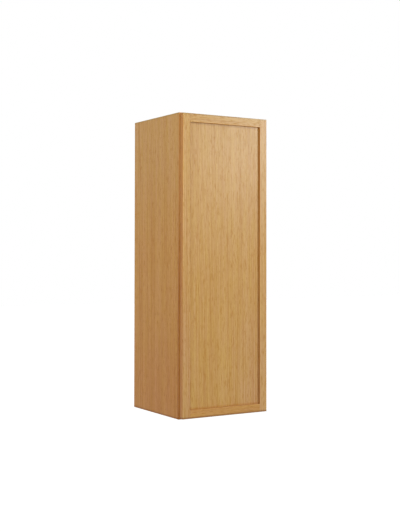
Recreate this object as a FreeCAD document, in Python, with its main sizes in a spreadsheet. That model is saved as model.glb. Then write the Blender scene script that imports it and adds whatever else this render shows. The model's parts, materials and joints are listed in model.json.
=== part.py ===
import FreeCAD, Part
import os
import re

import Sketcher
from FreeCAD import Placement, Rotation, Vector

# Kitchen wall cabinet with one full-overlay slim-frame door, in millimetres.
# The origin lies on the wall plane, at the middle of the cabinet's lower back edge.
# +X is the viewer's right, the door faces -Y, the wall is at +Y and +Z is up.

DIMENSIONS = (
    # box of boards
    ("cabinet_width", 304.8),
    ("cabinet_height", 914.4),
    ("carcass_depth", 285.75),
    ("board", 18.0),
    ("band", 2.0),
    ("band_round", 1.5),
    ("back_thick", 6.0),
    ("back_play", 0.2),
    ("groove_depth", 8.0),
    ("rail_thick", 18.0),
    ("rail_height", 90.0),
    ("board_ease", 0.7),
    # screws that hold the cabinet on a wall
    ("wall_screw_radius", 2.75),
    ("wall_screw_spacing", 152.4),
    # cam fittings and dowels in the corner joints
    ("cam_radius", 7.5),
    ("cam_height", 12.6),
    ("cam_bore", 13.0),
    ("cam_reach", 24.0),
    ("bolt_radius", 3.5),
    ("bolt_thread_radius", 2.5),
    ("bolt_thread_long", 11.0),
    ("dowel_radius", 4.0),
    ("dowel_long", 30.0),
    ("dowel_in_side", 10.0),
    ("fit_play", 0.05),
    ("end_play", 0.5),
    ("overshoot", 1.0),
    ("front_joint", 50.0),
    ("rear_joint", 62.0),
    ("dowel_step", 32.0),
    ("rail_dowel_step", 25.0),
    # shelves and the rows of holes that carry them
    ("shelf_play", 1.0),
    ("shelf_setback", 14.0),
    ("shelf_rear_gap", 1.5),
    ("lower_shelf_base", 298.8),
    ("upper_shelf_base", 597.6),
    ("peg_pitch", 32.0),
    ("peg_front", 37.0),
    ("peg_rear", 70.0),
    ("peg_radius", 2.5),
    ("peg_hole_deep", 12.0),
    ("peg_proud", 9.0),
    ("peg_flat", 1.5),
    ("peg_collar_radius", 4.2),
    ("peg_collar_thick", 0.7),
    # door
    ("door_gap", 2.4),
    ("door_thick", 19.05),
    ("side_reveal", 1.6),
    ("end_reveal", 3.2),
    ("frame_width", 25.4),
    ("panel_recess", 6.35),
    ("door_round", 1.2),
    ("back_round", 2.0),
    ("inner_round", 0.8),
    ("tongue_thick", 6.0),
    ("tongue_long", 9.0),
    ("tongue_inset", 3.35),
    ("tongue_play", 0.25),
    ("bumper_radius", 4.0),
    ("bumper_thick", 2.0),
    ("bumper_rim", 0.4),
    ("bumper_inset", 35.0),
    # concealed hinges: heights, cup and flange
    ("hinge_inset", 100.0),
    ("cup_radius", 17.5),
    ("cup_edge", 3.0),
    ("cup_depth", 11.2),
    ("cup_wall", 0.8),
    ("cup_slot", 6.5),
    ("flange_thick", 1.0),
    ("flange_reach", 30.0),
    ("flange_inner", 17.0),
    ("flange_outer", 8.0),
    ("flange_round", 6.0),
    ("cup_screw_spacing", 45.0),
    ("cup_screw_offset", 9.5),
    ("cup_screw_radius", 1.75),
    ("cup_screw_long", 9.0),
    ("screw_head_radius", 3.4),
    ("screw_head_thick", 1.2),
    # concealed hinges: pivots, from the side board's inner front corner
    ("nose_pin_in", 8.8),
    ("nose_pin_out", 3.65),
    ("rear_pin_in", 13.5),
    ("rear_pin_back", 21.85),
    ("cup_pin_over", 6.1),
    ("cup_pin_out", 7.75),
    ("rim_pin_over", 9.85),
    ("rim_pin_out", 5.15),
    ("pivot_radius", 1.25),
    ("rim_pivot_radius", 1.1),
    ("slot_half_width", 1.65),
    # concealed hinges: link plates, stacked outwards from the middle of the hinge
    ("long_link_edge", 2.4),
    ("prong_low", 2.8),
    ("prong_high", 4.2),
    ("short_link_low", 4.5),
    ("short_link_high", 6.1),
    ("pin_end", 8.5),
    # concealed hinges: arm and mounting plate
    ("arm_high", 16.5),
    ("arm_low", 3.5),
    ("arm_half_width", 8.0),
    ("arm_wall", 2.0),
    ("arm_front", 27.5),
    ("arm_neck", 4.5),
    ("arm_rear", 64.0),
    ("plate_base", 2.5),
    ("plate_half_height", 26.0),
    ("plate_front", 30.0),
    ("plate_rear", 62.0),
    ("plate_round", 5.0),
    ("block_high", 12.0),
    ("block_half_width", 5.7),
    ("plate_screw_row", 37.0),
    ("plate_screw_spacing", 32.0),
    ("plate_screw_radius", 2.5),
    ("plate_screw_long", 11.0),
    ("adjuster_front", 39.0),
    ("adjuster_rear", 54.0),
    ("adjuster_radius", 2.0),
    ("adjuster_head", 3.2),
    ("adjuster_long", 6.0),
    # cross recesses in screw heads
    ("recess_width", 1.0),
    ("recess_deep", 0.8),
)

doc = FreeCAD.newDocument("kitchen_wall_cabinet")
sheet = doc.addObject("Spreadsheet::Sheet", "dims")
for row, (alias, size) in enumerate(DIMENSIONS, start=1):
    sheet.set(f"A{row}", alias)
    sheet.set(f"B{row}", str(size))
    sheet.setAlias(f"B{row}", alias)
doc.recompute()

CELL_NAMES = re.compile(r"\b(" + "|".join(alias for alias, size in DIMENSIONS) + r")\b")
AXES = {"x": Vector(1, 0, 0), "y": Vector(0, 1, 0), "z": Vector(0, 0, 1)}
LEFT, RIGHT = -1, 1
SIDE_WORDS = {LEFT: "left", RIGHT: "right"}
nodes = []


def bound(formula):
    """The formula with every dimension name pointed at its cell."""
    return CELL_NAMES.sub(r"dims.\1", formula)


def size_of(alias):
    """A dimension's number, for shapes that are built point by point."""
    return float(sheet.get(alias))


def on_side(side, near, far):
    """A span along X between two distances from the middle, on the left or the right."""
    if side == LEFT:
        return f"-({far})", f"-({near})"
    return near, far


def around(centre, half):
    """A span of one half width to each side of a centre."""
    return f"({centre}) - ({half})", f"({centre}) + ({half})"


def node(item):
    """Mark a finished piece, whose label names its file."""
    nodes.append(item)
    return item


# Building blocks

def box(name, x_span, y_span, z_span):
    item = doc.addObject("Part::Box", name)
    spans = (("Length", "x", x_span), ("Width", "y", y_span), ("Height", "z", z_span))
    for side_name, axis, (low, high) in spans:
        item.setExpression(side_name, bound(f"({high}) - ({low})"))
        item.setExpression(f"Placement.Base.{axis}", bound(low))
    return item


def rod(name, axis, radius, span, **centre):
    """A cylinder along one axis; the other two places are given by name."""
    item = doc.addObject("Part::Cylinder", name)
    item.Placement = Placement(Vector(), Rotation(AXES["z"], AXES[axis]))
    item.setExpression("Radius", bound(radius))
    low, high = span
    item.setExpression("Height", bound(f"({high}) - ({low})"))
    for place_axis, place in {**centre, axis: low}.items():
        item.setExpression(f"Placement.Base.{place_axis}", bound(place))
    return item


def group(name, items):
    item = doc.addObject("Part::Compound", name)
    item.Links = items
    return item


def fuse(name, items):
    item = doc.addObject("Part::MultiFuse", name)
    item.Shapes = items
    return item


def cut(name, base, tools):
    item = doc.addObject("Part::Cut", name)
    item.Base = base
    item.Tool = tools[0] if len(tools) == 1 else fuse(f"{name}_cutters", tools)
    return item


def rounded(name, base, radius, wanted):
    """Fillet the edges whose middle point passes a test."""
    doc.recompute()
    item = doc.addObject("Part::Fillet", name)
    item.Base = base
    size = size_of(radius)
    picked = []
    for number, edge in enumerate(base.Shape.Edges, start=1):
        middle = edge.valueAt((edge.FirstParameter + edge.LastParameter) / 2)
        if wanted(edge, middle):
            picked.append((number, size, size))
    item.Edges = picked
    return item


def runs_along(edge, axis):
    """Whether an edge is straight and parallel to an axis."""
    if edge.Curve.TypeId != "Part::GeomLine":
        return False
    return abs(edge.tangentAt(edge.FirstParameter).dot(AXES[axis])) > 0.999


def near(value, place):
    return abs(value - place) < 0.01


# Sketches for bodies that are padded and pocketed

def sketch_on(body, role, name):
    sketch = body.newObject("Sketcher::SketchObject", name)
    plane = next(item for item in body.Origin.OriginFeatures if item.Role == role)
    sketch.AttachmentSupport = [(plane, "")]
    sketch.MapMode = "FlatFace"
    return sketch


def outline(sketch, corners):
    """A closed outline of straight lines whose corners are bound to formulas."""
    count = len(corners)
    first = sketch.GeometryCount
    for index in range(count):
        start = Vector(index, index * index, 0)
        end = Vector(index + 1, (index + 1) ** 2, 0)
        sketch.addGeometry(Part.LineSegment(start, end), False)
    for index, (across, up) in enumerate(corners):
        line = first + index
        before = first + (index - 1) % count
        sketch.addConstraint(Sketcher.Constraint("Coincident", before, 2, line, 1))
        for kind, formula in (("DistanceX", across), ("DistanceY", up)):
            number = sketch.addConstraint(Sketcher.Constraint(kind, -1, 1, line, 1, 1.0))
            sketch.setExpression(f"Constraints[{number}]", bound(formula))


def rectangle(sketch, across, up):
    low, high = across
    bottom, top = up
    outline(sketch, ((low, bottom), (high, bottom), (high, top), (low, top)))


def pad(body, sketch, name, length):
    feature = body.newObject("PartDesign::Pad", name)
    feature.Profile = sketch
    feature.setExpression("Length", bound(length))
    return feature


def pocket_upwards(body, sketch, name):
    """Cut a profile through the whole body, on the side that its pad grew to."""
    doc.recompute()
    before = body.Shape.Volume
    feature = body.newObject("PartDesign::Pocket", name)
    feature.Profile = sketch
    feature.Type = "ThroughAll"
    feature.Reversed = True
    doc.recompute()
    if body.Shape.Volume >= before:
        raise RuntimeError(f"{name} cut nothing")
    return feature


# Places that many pieces share

OUTER = "cabinet_width/2"
INNER = "cabinet_width/2 - board"
FRONT = "-carcass_depth"
BOARD_FRONT = "-carcass_depth + band"
BACK_FRONT = "-(rail_thick + back_thick)"
BACK_GROOVE_Y = ("-(rail_thick + back_thick + back_play)", "-rail_thick")
TOP = "cabinet_height"
CEILING = "cabinet_height - board"
DOOR_BACK = "-(carcass_depth + door_gap)"
DOOR_FRONT = "-(carcass_depth + door_gap + door_thick)"
PANEL_FRONT = "-(carcass_depth + door_gap + door_thick - panel_recess)"
DOOR_SIDE = "cabinet_width/2 - side_reveal"
FRAME_INNER = "cabinet_width/2 - side_reveal - frame_width"
DOOR_FOOT = "end_reveal"
DOOR_HEAD = "cabinet_height - end_reveal"
JOINT_ROWS = {
    "front": ("-carcass_depth + front_joint", "-carcass_depth + front_joint + dowel_step"),
    "rear": ("-rear_joint", "-rear_joint - dowel_step"),
}
JOINT_LEVELS = {"top": "cabinet_height - board/2", "bottom": "board/2"}
RAIL_LEVELS = {
    "upper": "cabinet_height - board - rail_height/2",
    "lower": "board + rail_height/2",
}
SHELF_BASES = {"upper": "upper_shelf_base", "lower": "lower_shelf_base"}
PEG_ROWS = ("-carcass_depth + peg_front", "-peg_rear")
HOLES_ABOVE_AND_BELOW = 2
HINGE_LEVELS = {"upper": "cabinet_height - hinge_inset", "lower": "hinge_inset"}
PLATE_SCREW_Y = "-carcass_depth + plate_screw_row"


# Carcass boards

def peg_level(base):
    """Height of a shelf peg's axis under a shelf."""
    return f"({base}) - peg_flat"


def outer_face_edges(side):
    """A test for the top, bottom and rear edges of a side board's outer face."""
    outer = side * size_of("cabinet_width") / 2
    front = -size_of("carcass_depth") + size_of("band")

    def wanted(edge, middle):
        return near(middle.x, outer) and not near(middle.y, front)
    return wanted


def side_panel(name, side):
    """An upright board, grooved for the back and drilled for pegs, bolts, dowels and plates."""
    body = doc.addObject("PartDesign::Body", f"{name}_board")
    profile = sketch_on(body, "XY_Plane", f"{name}_profile")
    rectangle(profile, on_side(side, INNER, OUTER), (BOARD_FRONT, "0"))
    pad(body, profile, f"{name}_pad", "cabinet_height")
    eased = rounded(f"{name}_eased", body, "board_ease", outer_face_edges(side))
    groove_x = on_side(side, f"{INNER} - board", f"{INNER} + groove_depth")
    groove_z = ("board - groove_depth", f"{CEILING} + groove_depth")
    groove = box(f"{name}_groove", groove_x, BACK_GROOVE_Y, groove_z)

    drills = []

    def drill(radius, depth, level, y):
        span = on_side(side, f"{INNER} - board", f"{INNER} + {depth}")
        drills.append(rod(f"{name}_drill_{len(drills)}", "x", radius, span, y=y, z=level))

    for base in SHELF_BASES.values():
        for row in PEG_ROWS:
            for step in range(-HOLES_ABOVE_AND_BELOW, HOLES_ABOVE_AND_BELOW + 1):
                drill("peg_radius", "peg_hole_deep", f"{peg_level(base)} + {step}*peg_pitch", row)
    for level in JOINT_LEVELS.values():
        for bolt_y, dowel_y in JOINT_ROWS.values():
            drill("bolt_thread_radius", "bolt_thread_long", level, bolt_y)
            drill("dowel_radius", "dowel_in_side", level, dowel_y)
    for level in RAIL_LEVELS.values():
        for step in (-1, 1):
            drill("dowel_radius", "dowel_in_side", f"{level} + {step}*rail_dowel_step", "-rail_thick/2")
    if side == RIGHT:
        for level in HINGE_LEVELS.values():
            for step in (-1, 1):
                height = f"{level} + {step}*plate_screw_spacing/2"
                drill("plate_screw_radius", "plate_screw_long", height, PLATE_SCREW_Y)
    return node(cut(name, eased, [groove] + drills))


def flat_panel(name, low, outward):
    """The top or bottom board, grooved inside, with cam bores in its outer face."""
    high = f"{low} + board"
    blank = box(f"{name}_blank", (f"-({INNER})", INNER), (BOARD_FRONT, "0"), (low, high))
    inside = (f"{high} - groove_depth", f"{high} + board")
    bore_span = (f"{low} - board", f"{low} + cam_bore")
    if outward > 0:
        inside = (f"{low} - board", f"{low} + groove_depth")
        bore_span = (f"{high} - cam_bore", f"{high} + board")
    cutters = [box(f"{name}_groove", (f"-({OUTER})", OUTER), BACK_GROOVE_Y, inside)]
    middle = f"{low} + board/2"
    for side in (LEFT, RIGHT):
        for row, (bolt_y, dowel_y) in JOINT_ROWS.items():
            tag = f"{name}_{SIDE_WORDS[side]}_{row}"
            centre = f"{side}*({INNER} - cam_reach)"
            bolt_span = on_side(side, f"{INNER} - cam_reach", OUTER)
            dowel_span = on_side(side, f"{INNER} - dowel_long + dowel_in_side", OUTER)
            cutters += [
                rod(f"{tag}_cam_bore", "z", "cam_radius + fit_play", bore_span, x=centre, y=bolt_y),
                rod(f"{tag}_bolt_bore", "x", "bolt_radius + fit_play", bolt_span, y=bolt_y, z=middle),
                rod(f"{tag}_dowel_bore", "x", "dowel_radius", dowel_span, y=dowel_y, z=middle),
            ]
    return node(cut(name, blank, cutters))


def wall_screw_holes(name, levels, y_span):
    holes = []
    for level_name, level in levels.items():
        for step in (-1, 1):
            centre = f"{step}*wall_screw_spacing/2"
            holes.append(rod(f"{name}_{level_name}_hole_{len(holes)}", "y", "wall_screw_radius", y_span,
                             x=centre, z=level))
    return holes


def back_panel():
    side = f"{INNER} + groove_depth - end_play"
    z_span = ("board - groove_depth + end_play", f"{CEILING} + groove_depth - end_play")
    blank = box("back_panel_blank", (f"-({side})", side), (BACK_FRONT, "-rail_thick"), z_span)
    holes = wall_screw_holes("back_panel", RAIL_LEVELS, (f"{BACK_FRONT} - board", "0"))
    return node(cut("back_panel", blank, holes))


def hanging_rail(place, level):
    """A rail behind the back, drilled for the wall screws and for its end dowels."""
    name = f"{place}_hanging_rail"
    across = (f"-({INNER})", INNER)
    blank = box(f"{name}_blank", across, ("-rail_thick", "0"), around(level, "rail_height/2"))
    cutters = wall_screw_holes(name, {place: level}, ("-rail_thick*2", "rail_thick"))
    for side in (LEFT, RIGHT):
        for step in (-1, 1):
            span = on_side(side, f"{INNER} - dowel_long + dowel_in_side", OUTER)
            cutters.append(rod(f"{name}_dowel_bore_{len(cutters)}", "x", "dowel_radius", span,
                               y="-rail_thick/2", z=f"{level} + {step}*rail_dowel_step"))
    return node(cut(name, blank, cutters))


def edge_band(name, x_span, z_span, front):
    """A thin strip glued on a board's front edge."""
    return box(name, x_span, (front, f"{front} + band"), z_span)


def carcass_band(name, x_span, z_span):
    """A band on the box's rim, rounded along the rim's outer front edge."""
    strip = edge_band(f"{name}_strip", x_span, z_span, FRONT)
    front = -size_of("carcass_depth")
    half_width = size_of("cabinet_width") / 2
    height = size_of("cabinet_height")

    def wanted(edge, middle):
        at_side = near(abs(middle.x), half_width) and runs_along(edge, "z")
        at_end = (near(middle.z, 0) or near(middle.z, height)) and runs_along(edge, "x")
        return near(middle.y, front) and (at_side or at_end)
    return node(rounded(name, strip, "band_round", wanted))


SHELF_FRONT = "-carcass_depth + shelf_setback"
SHELF_SIDE = f"{INNER} - shelf_play"

side_panel("left_side_panel", LEFT)
side_panel("right_side_panel", RIGHT)
flat_panel("top_panel", CEILING, 1)
flat_panel("bottom_panel", "0", -1)
back_panel()
for place, level in RAIL_LEVELS.items():
    hanging_rail(place, level)
for side, word in SIDE_WORDS.items():
    carcass_band(f"{word}_side_edge_band", on_side(side, INNER, OUTER), ("0", TOP))
carcass_band("top_edge_band", (f"-({INNER})", INNER), (CEILING, TOP))
carcass_band("bottom_edge_band", (f"-({INNER})", INNER), ("0", "board"))
for place, base in SHELF_BASES.items():
    shelf_span = (f"-({SHELF_SIDE})", SHELF_SIDE)
    shelf_height = (base, f"{base} + board")
    shelf_depth = (f"{SHELF_FRONT} + band", f"{BACK_FRONT} - shelf_rear_gap")
    node(box(f"{place}_shelf", shelf_span, shelf_depth, shelf_height))
    node(edge_band(f"{place}_shelf_edge_band", shelf_span, shelf_height, SHELF_FRONT))


# Shelf pegs: a collared pin, flattened on top where the shelf lies on it

def shelf_peg(name, side, row, base):
    level = peg_level(base)
    pin_span = on_side(side, f"{INNER} - peg_proud", f"{INNER} + peg_hole_deep - end_play")
    collar_span = on_side(side, f"{INNER} - peg_collar_thick", INNER)
    pin = rod(f"{name}_pin", "x", "peg_radius - fit_play", pin_span, y=row, z=level)
    flat = box(f"{name}_flat", on_side(side, f"{INNER} - peg_proud*2", f"{INNER} - shelf_play"),
               around(row, "peg_collar_radius"), (base, f"{base} + board"))
    collar = rod(f"{name}_collar", "x", "peg_collar_radius", collar_span, y=row, z=level)
    return fuse(f"{name}_peg", [cut(f"{name}_seat", pin, [flat]), collar])


for place, base in SHELF_BASES.items():
    pegs = []
    for side in (LEFT, RIGHT):
        for row in PEG_ROWS:
            pegs.append(shelf_peg(f"{place}_peg_{len(pegs)}", side, row, base))
    node(group(f"{place}_shelf_pegs", pegs))


# Corner joints: cam discs, cam bolts and dowels

def cam_disc(name, side, bolt_y, face, outward):
    """A disc sunk in the board, open towards its bolt and cross-slotted on its face."""
    centre = f"{side}*({INNER} - cam_reach)"
    span = (face, f"{face} + cam_height")
    slot = (face, f"{face} + recess_deep*3")
    middle = f"{face} + board/2"
    if outward > 0:
        span = (f"{face} - cam_height", face)
        slot = (f"{face} - recess_deep*3", face)
        middle = f"{face} - board/2"
    disc = rod(f"{name}_disc", "z", "cam_radius", span, x=centre, y=bolt_y)
    bolt_way = rod(f"{name}_bolt_way", "x", "bolt_radius + fit_play*4",
                   on_side(side, f"{INNER} - cam_reach", OUTER), y=bolt_y, z=middle)
    cross = [
        box(f"{name}_cross_x", around(centre, "cam_radius/2"), around(bolt_y, "recess_width/2"), slot),
        box(f"{name}_cross_y", around(centre, "recess_width/2"), around(bolt_y, "cam_radius/2"), slot),
    ]
    return cut(f"{name}_cam", disc, [bolt_way] + cross)


def cam_bolt(name, side, bolt_y, level):
    shank_span = on_side(side, f"{INNER} - cam_reach + end_play", INNER)
    thread_span = on_side(side, INNER, f"{INNER} + bolt_thread_long - end_play")
    shank = rod(f"{name}_shank", "x", "bolt_radius", shank_span, y=bolt_y, z=level)
    thread_radius = "bolt_thread_radius - fit_play"
    thread = rod(f"{name}_thread", "x", thread_radius, thread_span, y=bolt_y, z=level)
    return fuse(f"{name}_bolt", [shank, thread])


def dowel(name, side, dowel_y, level):
    span = on_side(side, f"{INNER} - dowel_long + dowel_in_side + end_play",
                   f"{INNER} + dowel_in_side - end_play")
    return rod(f"{name}_dowel", "x", "dowel_radius - fit_play", span, y=dowel_y, z=level)


cams, bolts, dowels = [], [], []
for level_name, level in JOINT_LEVELS.items():
    face, outward = (TOP, 1) if level_name == "top" else ("0", -1)
    for side in (LEFT, RIGHT):
        for row, (bolt_y, dowel_y) in JOINT_ROWS.items():
            tag = f"{level_name}_{SIDE_WORDS[side]}_{row}"
            cams.append(cam_disc(tag, side, bolt_y, face, outward))
            bolts.append(cam_bolt(tag, side, bolt_y, level))
            dowels.append(dowel(tag, side, dowel_y, level))
node(group("cam_discs", cams))
node(group("cam_bolts", bolts))
node(group("corner_dowels", dowels))
for place, level in RAIL_LEVELS.items():
    rail_dowels = []
    for side in (LEFT, RIGHT):
        for step in (-1, 1):
            height = f"{level} + {step}*rail_dowel_step"
            rail_dowels.append(dowel(f"{place}_rail_{len(rail_dowels)}", side, "-rail_thick/2", height))
    node(group(f"{place}_rail_dowels", rail_dowels))


# Door frame and panel

CUP_X = "cabinet_width/2 - side_reveal - cup_edge - cup_radius"
CUP_FLOOR = f"{DOOR_BACK} - cup_depth"
TONGUE_Y = (f"{DOOR_BACK} - tongue_inset - tongue_thick", f"{DOOR_BACK} - tongue_inset")
GROOVE_Y = (f"{TONGUE_Y[0]} - tongue_play/2", f"{TONGUE_Y[1]} + tongue_play/2")
GROOVE_DEEP = "(tongue_long + tongue_play)"
CUP_SCREW_X = f"{CUP_X} - cup_screw_offset"


def cup_bores(name):
    """The round pockets in the door's back that take the two hinge cups."""
    span = (CUP_FLOOR, f"{DOOR_BACK} + board")
    return [rod(f"{name}_{place}_cup_bore", "y", "cup_radius", span, x=CUP_X, z=level)
            for place, level in HINGE_LEVELS.items()]


def outer_edges(x_places, z_places, y_place):
    """A test for the outer edges of a door piece on its front or back face."""
    def wanted(edge, middle):
        if not near(middle.y, y_place):
            return False
        on_x = any(near(middle.x, place) for place in x_places)
        on_z = any(near(middle.z, place) for place in z_places)
        return (on_x and runs_along(edge, "z")) or (on_z and runs_along(edge, "x"))
    return wanted


def door_places():
    """The door's faces as numbers, for choosing edges."""
    back = -(size_of("carcass_depth") + size_of("door_gap"))
    return {
        "side": size_of("cabinet_width") / 2 - size_of("side_reveal"),
        "inner": size_of("cabinet_width") / 2 - size_of("side_reveal") - size_of("frame_width"),
        "front": back - size_of("door_thick"),
        "back": back,
        "foot": size_of("end_reveal"),
        "head": size_of("cabinet_height") - size_of("end_reveal"),
    }


def eased_frame_piece(name, blank, outer_x, inner_x, outer_z, inner_z):
    """Round a frame piece's outer edges in front and behind, and ease its inner front edge."""
    places = door_places()
    front = rounded(f"{name}_front_round", blank, "door_round",
                    outer_edges(outer_x, outer_z, places["front"]))
    back = rounded(f"{name}_back_round", front, "back_round",
                   outer_edges(outer_x, outer_z, places["back"]))
    return rounded(f"{name}_eased", back, "inner_round",
                   outer_edges(inner_x, inner_z, places["front"]))


def stile(name, side):
    """A full-height upright of the door frame, grooved along its inner edge."""
    body = doc.addObject("PartDesign::Body", f"{name}_body")
    body.setExpression("Placement.Base.z", bound(DOOR_FOOT))
    profile = sketch_on(body, "XY_Plane", f"{name}_profile")
    rectangle(profile, on_side(side, FRAME_INNER, DOOR_SIDE), (DOOR_FRONT, DOOR_BACK))
    pad(body, profile, f"{name}_pad", f"({DOOR_HEAD}) - ({DOOR_FOOT})")
    groove = sketch_on(body, "XY_Plane", f"{name}_groove")
    groove_x = on_side(side, f"{FRAME_INNER} - overshoot", f"{FRAME_INNER} + {GROOVE_DEEP}")
    rectangle(groove, groove_x, GROOVE_Y)
    pocket_upwards(body, groove, f"{name}_groove_pocket")
    places = door_places()
    eased = eased_frame_piece(name, body, [side * places["side"]], [side * places["inner"]],
                              [places["foot"], places["head"]], [])
    if side == LEFT:
        eased.Label = name
        return node(eased)
    return node(cut(name, eased, cup_bores(name)))


def rail(name, outer, inner, outer_place, inner_place):
    """A cross piece of the frame with a tongue at each end and a groove for the panel."""
    low, high = (inner, outer) if outer_place > inner_place else (outer, inner)
    across = (f"-({FRAME_INNER})", FRAME_INNER)
    blank = box(f"{name}_blank", across, (DOOR_FRONT, DOOR_BACK), (low, high))
    eased = eased_frame_piece(name, blank, [], [], [outer_place], [inner_place])
    reach = f"{FRAME_INNER} + tongue_long"
    tongue = box(f"{name}_tongue", (f"-({reach})", reach), TONGUE_Y, (low, high))
    whole = fuse(f"{name}_whole", [eased, tongue])
    groove_z = (f"{low} - overshoot", f"{low} + {GROOVE_DEEP}")
    if inner == high:
        groove_z = (f"{high} - {GROOVE_DEEP}", f"{high} + overshoot")
    groove = box(f"{name}_groove", (f"-({OUTER})", OUTER), GROOVE_Y, groove_z)
    return node(cut(name, whole, [groove]))


def door_panel():
    """The flat centre panel, flush behind, with a tongue all round and two cup bores."""
    inner_foot, inner_head = f"{DOOR_FOOT} + frame_width", f"{DOOR_HEAD} - frame_width"
    gap = "tongue_play/2"
    field_x = (f"-({FRAME_INNER} - {gap})", f"{FRAME_INNER} - {gap}")
    field = box("door_panel_field", field_x, (PANEL_FRONT, DOOR_BACK),
                (f"{inner_foot} + {gap}", f"{inner_head} - {gap}"))
    reach = "tongue_long - tongue_play"
    tongue_x = (f"-({FRAME_INNER} + {reach})", f"{FRAME_INNER} + {reach}")
    tongue_z = (f"{inner_foot} - ({reach})", f"{inner_head} + {reach}")
    tongue = box("door_panel_tongue", tongue_x, TONGUE_Y, tongue_z)
    cutters = cup_bores("door_panel")
    pilot_y = (f"{DOOR_BACK} - cup_screw_long - end_play", f"{DOOR_BACK} + board")
    for place, level in HINGE_LEVELS.items():
        for step in (-1, 1):
            height = f"{level} + {step}*cup_screw_spacing/2"
            cutters.append(rod(f"door_panel_{place}_pilot_{len(cutters)}", "y", "cup_screw_radius + fit_play",
                               pilot_y, x=CUP_SCREW_X, z=height))
    return node(cut("door_panel", fuse("door_panel_whole", [field, tongue]), cutters))


def door_bumpers():
    """Two domed dots behind the opening stile that meet the carcass edge softly."""
    dots = []
    across = "-(cabinet_width/2 - board/2)"
    crown = "(bumper_radius^2 + (bumper_thick - bumper_rim)^2) / (2*(bumper_thick - bumper_rim))"
    for index, level in enumerate(("bumper_inset", "cabinet_height - bumper_inset")):
        puck = rod(f"bumper_{index}_puck", "y", "bumper_radius", (DOOR_BACK, f"{DOOR_BACK} + bumper_thick"),
                   x=across, z=level)
        ball = doc.addObject("Part::Sphere", f"bumper_{index}_ball")
        ball.setExpression("Radius", bound(crown))
        ball.setExpression("Placement.Base.x", bound(across))
        ball.setExpression("Placement.Base.y", bound(f"{DOOR_BACK} + bumper_thick - {crown}"))
        ball.setExpression("Placement.Base.z", bound(level))
        dot = doc.addObject("Part::Common", f"bumper_{index}")
        dot.Base = puck
        dot.Tool = ball
        dots.append(dot)
    return node(group("door_bumpers", dots))


stile("hinge_stile", RIGHT)
stile("opening_stile", LEFT)
places = door_places()
rail("door_top_rail", DOOR_HEAD, f"{DOOR_HEAD} - frame_width",
     places["head"], places["head"] - size_of("frame_width"))
rail("door_bottom_rail", DOOR_FOOT, f"{DOOR_FOOT} + frame_width",
     places["foot"], places["foot"] + size_of("frame_width"))
door_panel()
door_bumpers()


# Concealed hinges

NOSE_PIN = (f"{INNER} - nose_pin_in", f"{FRONT} - nose_pin_out")
REAR_PIN = (f"{INNER} - rear_pin_in", f"{FRONT} + rear_pin_back")
CUP_PIN = (f"{INNER} + cup_pin_over", f"{FRONT} - cup_pin_out")
RIM_PIN = (f"{INNER} + rim_pin_over", f"{FRONT} - rim_pin_out")


def corner_point(across, forward):
    """A plan point given from the side board's inner front corner."""
    inner = size_of("cabinet_width") / 2 - size_of("board")
    return Vector(inner + across, -size_of("carcass_depth") - forward, 0)


NOSE_POINT = corner_point(-size_of("nose_pin_in"), size_of("nose_pin_out"))
REAR_POINT = corner_point(-size_of("rear_pin_in"), -size_of("rear_pin_back"))
CUP_POINT = corner_point(size_of("cup_pin_over"), size_of("cup_pin_out"))
RIM_POINT = corner_point(size_of("rim_pin_over"), size_of("rim_pin_out"))

# The short link hooks under the cup's rim; the long link reaches round the board's corner.
SHORT_LINK_LINE = (
    NOSE_POINT,
    corner_point(-8.2, 7.6),
    corner_point(-4.2, 10.2),
    corner_point(1.6, 10.2),
    CUP_POINT,
)
SHORT_LINK_HALF = 1.6
LONG_LINK_LINE = (
    REAR_POINT + Vector(-0.25, 0.2, 0),
    corner_point(-12.0, -16.0),
    corner_point(-6.6, -1.0),
    corner_point(-3.0, 4.2),
    corner_point(0.6, 6.6),
    corner_point(5.2, 7.0),
    RIM_POINT,
)
LONG_LINK_HALF = 1.7
EYE_RADIUS = 2.3
RIM_EYE_RADIUS = 2.2
# The long link's slot follows the rear pin, which strays this far along and across it.
SLOT_TRAVEL = (Vector(-0.25, 0.15, 0), Vector(-0.25, -2.05, 0))
SLOT_WALL = 1.2
PRONG_ROOT_ACROSS = -12.9
PRONG_ROOT_HALF = 4.2


def stadium(start, end, radius):
    """A flat face of two half circles and two straight sides."""
    along = end - start
    across = Vector(-along.y, along.x, 0).normalize() * radius
    ahead = Vector(along).normalize() * radius
    edges = [
        Part.LineSegment(start - across, end - across).toShape(),
        Part.Arc(end - across, end + ahead, end + across).toShape(),
        Part.LineSegment(end + across, start + across).toShape(),
        Part.Arc(start + across, start - ahead, start - across).toShape(),
    ]
    return Part.Face(Part.Wire(edges))


def disc(centre, radius):
    return Part.Face(Part.Wire([Part.Circle(centre, AXES["z"], radius).toShape()]))


def bent_strip(line, half, eyes):
    """The faces of a flat strip that follows a bent line and widens into round eyes."""
    strips = [stadium(start, end, half) for start, end in zip(line, line[1:])]
    return strips + [disc(centre, radius) for centre, radius in eyes]


def plate_solid(faces, openings, low, high):
    """Faces raised into one plate between two heights, with openings cut through it."""
    rise = Vector(0, 0, high - low)
    solids = [face.extrude(rise) for face in faces]
    plate = solids[0].multiFuse(solids[1:])
    for opening in openings:
        plate = plate.cut(opening.extrude(rise))
    plate = plate.removeSplitter().Solids[0]
    plate.translate(Vector(0, 0, low))
    return plate


def plate_pair(faces, openings, low, high):
    """Two like plates, one above and one below the hinge's middle."""
    over = plate_solid(faces, openings, low, high)
    under = plate_solid(faces, openings, -high, -low)
    return Part.Compound([over, under])


def shaped(name, shape, level):
    """A piece built point by point about its hinge's middle height."""
    item = doc.addObject("Part::Feature", name)
    item.Shape = shape
    item.Placement = Placement()
    item.setExpression("Placement.Base.z", bound(level))
    return item


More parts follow.
